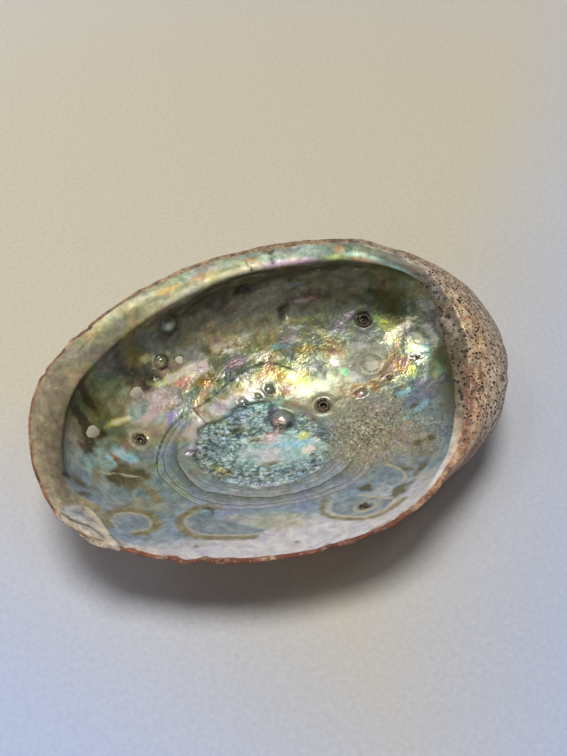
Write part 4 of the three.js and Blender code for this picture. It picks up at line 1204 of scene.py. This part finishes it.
# Worm tubes
# Sea worms lived in the four larger borings and left tubes in them, built of rough brown chalk.
# Each tube is a round bead that coils inwards and down into its boring, thinner towards its end.
WORM_TUBE = 2
TUBED_BORINGS = BORINGS[:4]
TUBE_SIDES = 8
TUBE_STEPS = 44
TUBE_TURNS = 1.7
TUBE_RADIUS = 0.2  # this and the next two are shares of the boring's radius
COIL_START = 0.95
COIL_SHRINK = 0.62
TUBE_TAPER = 0.35  # share of its thickness that a tube loses
COIL_TOP = 0.1  # height of the coil's outer end above the hollow, in millimetres
COIL_SINK = 0.45  # share of the boring's depth that it sinks
tube_corners = []
tube_faces = []
for x, y, radius, depth in TUBED_BORINGS:
    spot, _ = hollow_spot(x, y)
    axis = Vector(directions[spot])
    side = axis.orthogonal().normalized()
    other = axis.cross(side)
    first = len(tube_corners)
    for k in range(TUBE_STEPS + 1):
        share = k / TUBE_STEPS
        angle = share * TUBE_TURNS * 2 * math.pi
        coil_reach = radius * (COIL_START - COIL_SHRINK * share)
        radial = math.cos(angle) * side + math.sin(angle) * other
        centre = Vector(form[spot]) + coil_reach * radial + (COIL_TOP - COIL_SINK * depth * share) * axis
        thick = TUBE_RADIUS * radius * (1 - TUBE_TAPER * share)
        for j in range(TUBE_SIDES):
            round_tube = 2 * math.pi * j / TUBE_SIDES
            off_centre = math.cos(round_tube) * radial + math.sin(round_tube) * axis
            tube_corners.append(centre + thick * off_centre)
    for k in range(TUBE_STEPS):
        here = first + k * TUBE_SIDES
        for j in range(TUBE_SIDES):
            n = (j + 1) % TUBE_SIDES
            tube_faces.append((here + j, here + n, here + TUBE_SIDES + n, here + TUBE_SIDES + j))
    tube_faces.append(tuple(range(first + TUBE_SIDES - 1, first - 1, -1)))
    last = first + TUBE_STEPS * TUBE_SIDES
    tube_faces.append(tuple(range(last, last + TUBE_SIDES)))
tubes_mesh = mesh_from("worm_tubes", [tuple(c) for c in tube_corners], tube_faces)
tubes_mesh.polygons.foreach_set("material_index", np.full(len(tubes_mesh.polygons), WORM_TUBE, np.int32))

# Chalk: rough and matt, brown on the crumbs and nearly black between them.
worm_tube = bpy.data.materials.new("worm_tube_chalk")
worm_tube.use_nodes = True
tree = worm_tube.node_tree
finish = tree.nodes["Principled BSDF"]
place = add(tree, "TexCoord", out="Object")
crumb = add(tree, "TexNoise", {"Vector": place, "Scale": per_mm(1.0), "Detail": 4.0})
colour = add(tree, "ValToRGB", {"Fac": crumb}, stops=[
    (0.35, "#2c241c"), (0.55, "#6a5c4a"), (0.72, "#a3967e")])
normal = add(tree, "Bump", {"Height": crumb, "Strength": 0.6, "Distance": 0.3 * MM})
tree.links.new(colour, finish.inputs["Base Color"])
tree.links.new(normal, finish.inputs["Normal"])
finish.inputs["Roughness"].default_value = 0.6

# Finished shell
# Shell and worm tubes are one mesh. Each of its points takes the colours and marks of the nearest point of
# the sheet, because the pores' cut has changed the order of the points.
joined = bmesh.new()
joined.from_mesh(bored)
joined.from_mesh(tubes_mesh)
joined.to_mesh(bored)
joined.free()
tree_of_points = kdtree.KDTree(len(points))
for i, point in enumerate(points * MM):
    tree_of_points.insert(point, i)
tree_of_points.balance()
source = np.array([tree_of_points.find(v.co)[1] for v in bored.vertices])


def give(name, grid):
    """Stores a value or colour for each point of the finished mesh."""
    flat = np.concatenate([grid.reshape(AROUND * ROWS, -1), grid[:, :1].mean(0).reshape(1, -1),
                           grid[:, -1:].mean(0).reshape(1, -1)])[source]
    if flat.shape[1] == 3:
        kept = bored.attributes.new(name, "FLOAT_COLOR", "POINT")
        kept.data.foreach_set("color", np.concatenate([flat, np.ones((len(flat), 1))], 1).ravel())
    else:
        kept = bored.attributes.new(name, "FLOAT", "POINT")
        kept.data.foreach_set("value", flat.ravel())


for name, grid in {
    "tone": tone,
    "crust_tone": crust_tone,
    "shimmer": shimmer,
    "crumple": crumple,
    "terrace": terrace,
    "ring": ring * in_hollow,
    "island": island + outside_cup,
    "middle": 0.75 * smooth_middle * in_hollow,
    "grain": grain * in_hollow,
    "foil": foil,
    "seam": seam + outside_cup,
    "plate": plate + outside_cup,
    "band": band + outside_cup,
    "olive": olive + outside_cup,
    "cream": cream + outside_cup,
    "pits": pits,
    "satin": satin,
    "gloss": gloss,
    "from_rim": np.where(on_back, -rim_gap, ledge_mm),
    "flaky": spire_rim,
    "growth": full_stage,
}.items():
    give(name, grid)
finish_of_face = np.empty(len(bored.polygons), np.int32)
bored.polygons.foreach_get("material_index", finish_of_face)
bored.materials.clear()
for material in (crust, nacre, worm_tube):
    bored.materials.append(material)
bored.polygons.foreach_set("material_index", finish_of_face)
bored.shade_smooth()
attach(shell, "root")
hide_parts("shell")

# Floor
# A plain sheet of pale board with a faint fibre, flat round the shell and bent up all round further out.
# Its warm tint behind the shell and cooler tint in front of it are painted light, the colours of warm and
# cool lamps laid into the board, and it fades to grey away from it.
FLAT_REACH = 1100.0
BEND_RADIUS = 1600.0
BEND_ANGLE = math.radians(72)
BEND_STEPS = 18
FLOOR_SIDES = 72
bend = np.linspace(0, BEND_ANGLE, BEND_STEPS)
floor_reach = FLAT_REACH + BEND_RADIUS * np.sin(bend)
floor_height = BEND_RADIUS * (1 - np.cos(bend))
floor_angle = np.arange(FLOOR_SIDES) * 2 * math.pi / FLOOR_SIDES
floor_corners = [(r * math.cos(a), r * math.sin(a), z)
                 for r, z in zip(floor_reach, floor_height) for a in floor_angle]
floor_faces = [tuple(range(FLOOR_SIDES))]
for k in range(BEND_STEPS - 1):
    for j in range(FLOOR_SIDES):
        n = (j + 1) % FLOOR_SIDES
        inner = k * FLOOR_SIDES
        outer = inner + FLOOR_SIDES
        floor_faces.append((inner + n, inner + j, outer + j, outer + n))
floor = piece_from(mesh_from("floor", floor_corners, floor_faces))
floor.data.shade_smooth()
# Board: matt and pale, with a faint fibre that is drawn coarser than real fibre so that it shows.
WARM_LIGHT_TINT = "#c8c3b2"
COOL_LIGHT_TINT = "#b3c2e4"
BOARD_GREY = "#c6c6ca"
SIDEWAYS = 1.25  # how much faster it cools to the sides than to the front
COOL_FROM, COOL_TO = 50.0, 230.0
GREY_FROM, GREY_TO = 260.0, 500.0
board = bpy.data.materials.new("grey_board")
board.use_nodes = True
tree = board.node_tree
finish = tree.nodes["Principled BSDF"]
place = add(tree, "TexCoord", out="Object")
fibre = add(tree, "TexNoise", {"Vector": place, "Scale": per_mm(2.0), "Detail": 6.0, "Roughness": 0.8})
fibre_grey = add(tree, "ValToRGB", {"Fac": fibre}, stops=[
    (0.3, "#b0b0b0"), (0.5, "#bcbcbc"), (0.7, "#c8c8c8")])
axes = add(tree, "SeparateXYZ", {"Vector": place}).node.outputs
aside = add(tree, "Math", {0: axes["X"]}, operation="ABSOLUTE")
widened = add(tree, "Math", {0: aside, 1: SIDEWAYS}, operation="MULTIPLY")
from_warm_light = add(tree, "Math", {0: widened, 1: axes["Y"]}, operation="SUBTRACT")
cool_light_share = add(tree, "MapRange", {"Value": from_warm_light, "From Min": COOL_FROM * MM, "From Max": COOL_TO * MM})
from_middle = add(tree, "VectorMath", {0: place}, out="Value", operation="LENGTH")
greyness = add(tree, "MapRange", {"Value": from_middle, "From Min": GREY_FROM * MM, "From Max": GREY_TO * MM})
colour = lay(tree, linear(WARM_LIGHT_TINT), (cool_light_share, COOL_LIGHT_TINT, "MIX"), (greyness, BOARD_GREY, "MIX"),
             (0.9, fibre_grey, "OVERLAY"))
tree.links.new(colour, finish.inputs["Base Color"])
finish.inputs["Roughness"].default_value = 0.8
floor.data.materials.append(board)
floor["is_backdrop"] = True

# Light
# One broad soft key from above that falls evenly, as from a bright sky, and four smaller lamps that give the
# fill from the left, the glints on the nacre and the light behind the far wall. The room itself is dim.
ROOM_COLOUR = "#d8cdbd"
ROOM_STRENGTH = 0.04
world = bpy.data.worlds.new("room")
world.use_nodes = True
room = world.node_tree.nodes["Background"]
room.inputs["Color"].default_value = linear(ROOM_COLOUR)
room.inputs["Strength"].default_value = ROOM_STRENGTH
bpy.context.scene.world = world
bpy.context.scene.view_settings.view_transform = "Standard"
# Name, place and aim in mm, size in mm, power in watts, colour.
LIGHTS = [
    ("top", (-260, 60, 700), (0, 0, 20), 120, 0.45, "#fffaf2"),
    ("fill", (-700, -300, 480), (0, 0, 20), 320, 0.75, "#f2efea"),
    ("glint", (250, -200, 900), (-20, 40, 15), 140, 0.4, "#fff8f0"),
    ("window", (-420, 640, 300), (-50, 40, 0), 300, 1.0, "#f0f1f4"),
]
for name, position, aim, size, power, code in LIGHTS:
    lamp = bpy.data.lights.new(name, "AREA")
    lamp.size = size * MM
    lamp.energy = power
    lamp.color = linear(code)[:3]
    light = bpy.data.objects.new(name, lamp)
    light.location = Vector(position) * MM
    light.rotation_euler = (Vector(aim) - Vector(position)).to_track_quat("-Z", "Y").to_euler()
    bpy.context.scene.collection.objects.link(light)

# The key: watts per square metre, the angle that it spans, direction and colour.
KEY_STRENGTH = 2.25
KEY_SPREAD = math.radians(22)
KEY_DIRECTION = (10, -110, -980)
KEY_COLOUR = "#fffaf3"
sky = bpy.data.lights.new("key", "SUN")
sky.energy = KEY_STRENGTH
sky.angle = KEY_SPREAD
sky.color = linear(KEY_COLOUR)[:3]
key = bpy.data.objects.new("key", sky)
key.rotation_euler = Vector(KEY_DIRECTION).to_track_quat("-Z", "Y").to_euler()
bpy.context.scene.collection.objects.link(key)

# Camera
# It looks down on the thin lip from the photograph's angle. Places are in millimetres, and so are the lens's
# focal length and the width of the sensor.
CAMERA_PLACE = Vector((-79.6, -232.3, 367.4))
CAMERA_AIM = Vector((7.4, 19.5, 25.0))
FOCAL_LENGTH = 50
SENSOR_WIDTH = 36
lens = bpy.data.cameras.new("camera")
lens.lens = FOCAL_LENGTH
lens.sensor_width = SENSOR_WIDTH
camera = bpy.data.objects.new("camera", lens)
camera.location = CAMERA_PLACE * MM
camera.rotation_euler = (CAMERA_AIM - CAMERA_PLACE).to_track_quat("-Z", "Y").to_euler()
bpy.context.scene.collection.objects.link(camera)
bpy.context.scene.camera = camera

low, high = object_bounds()
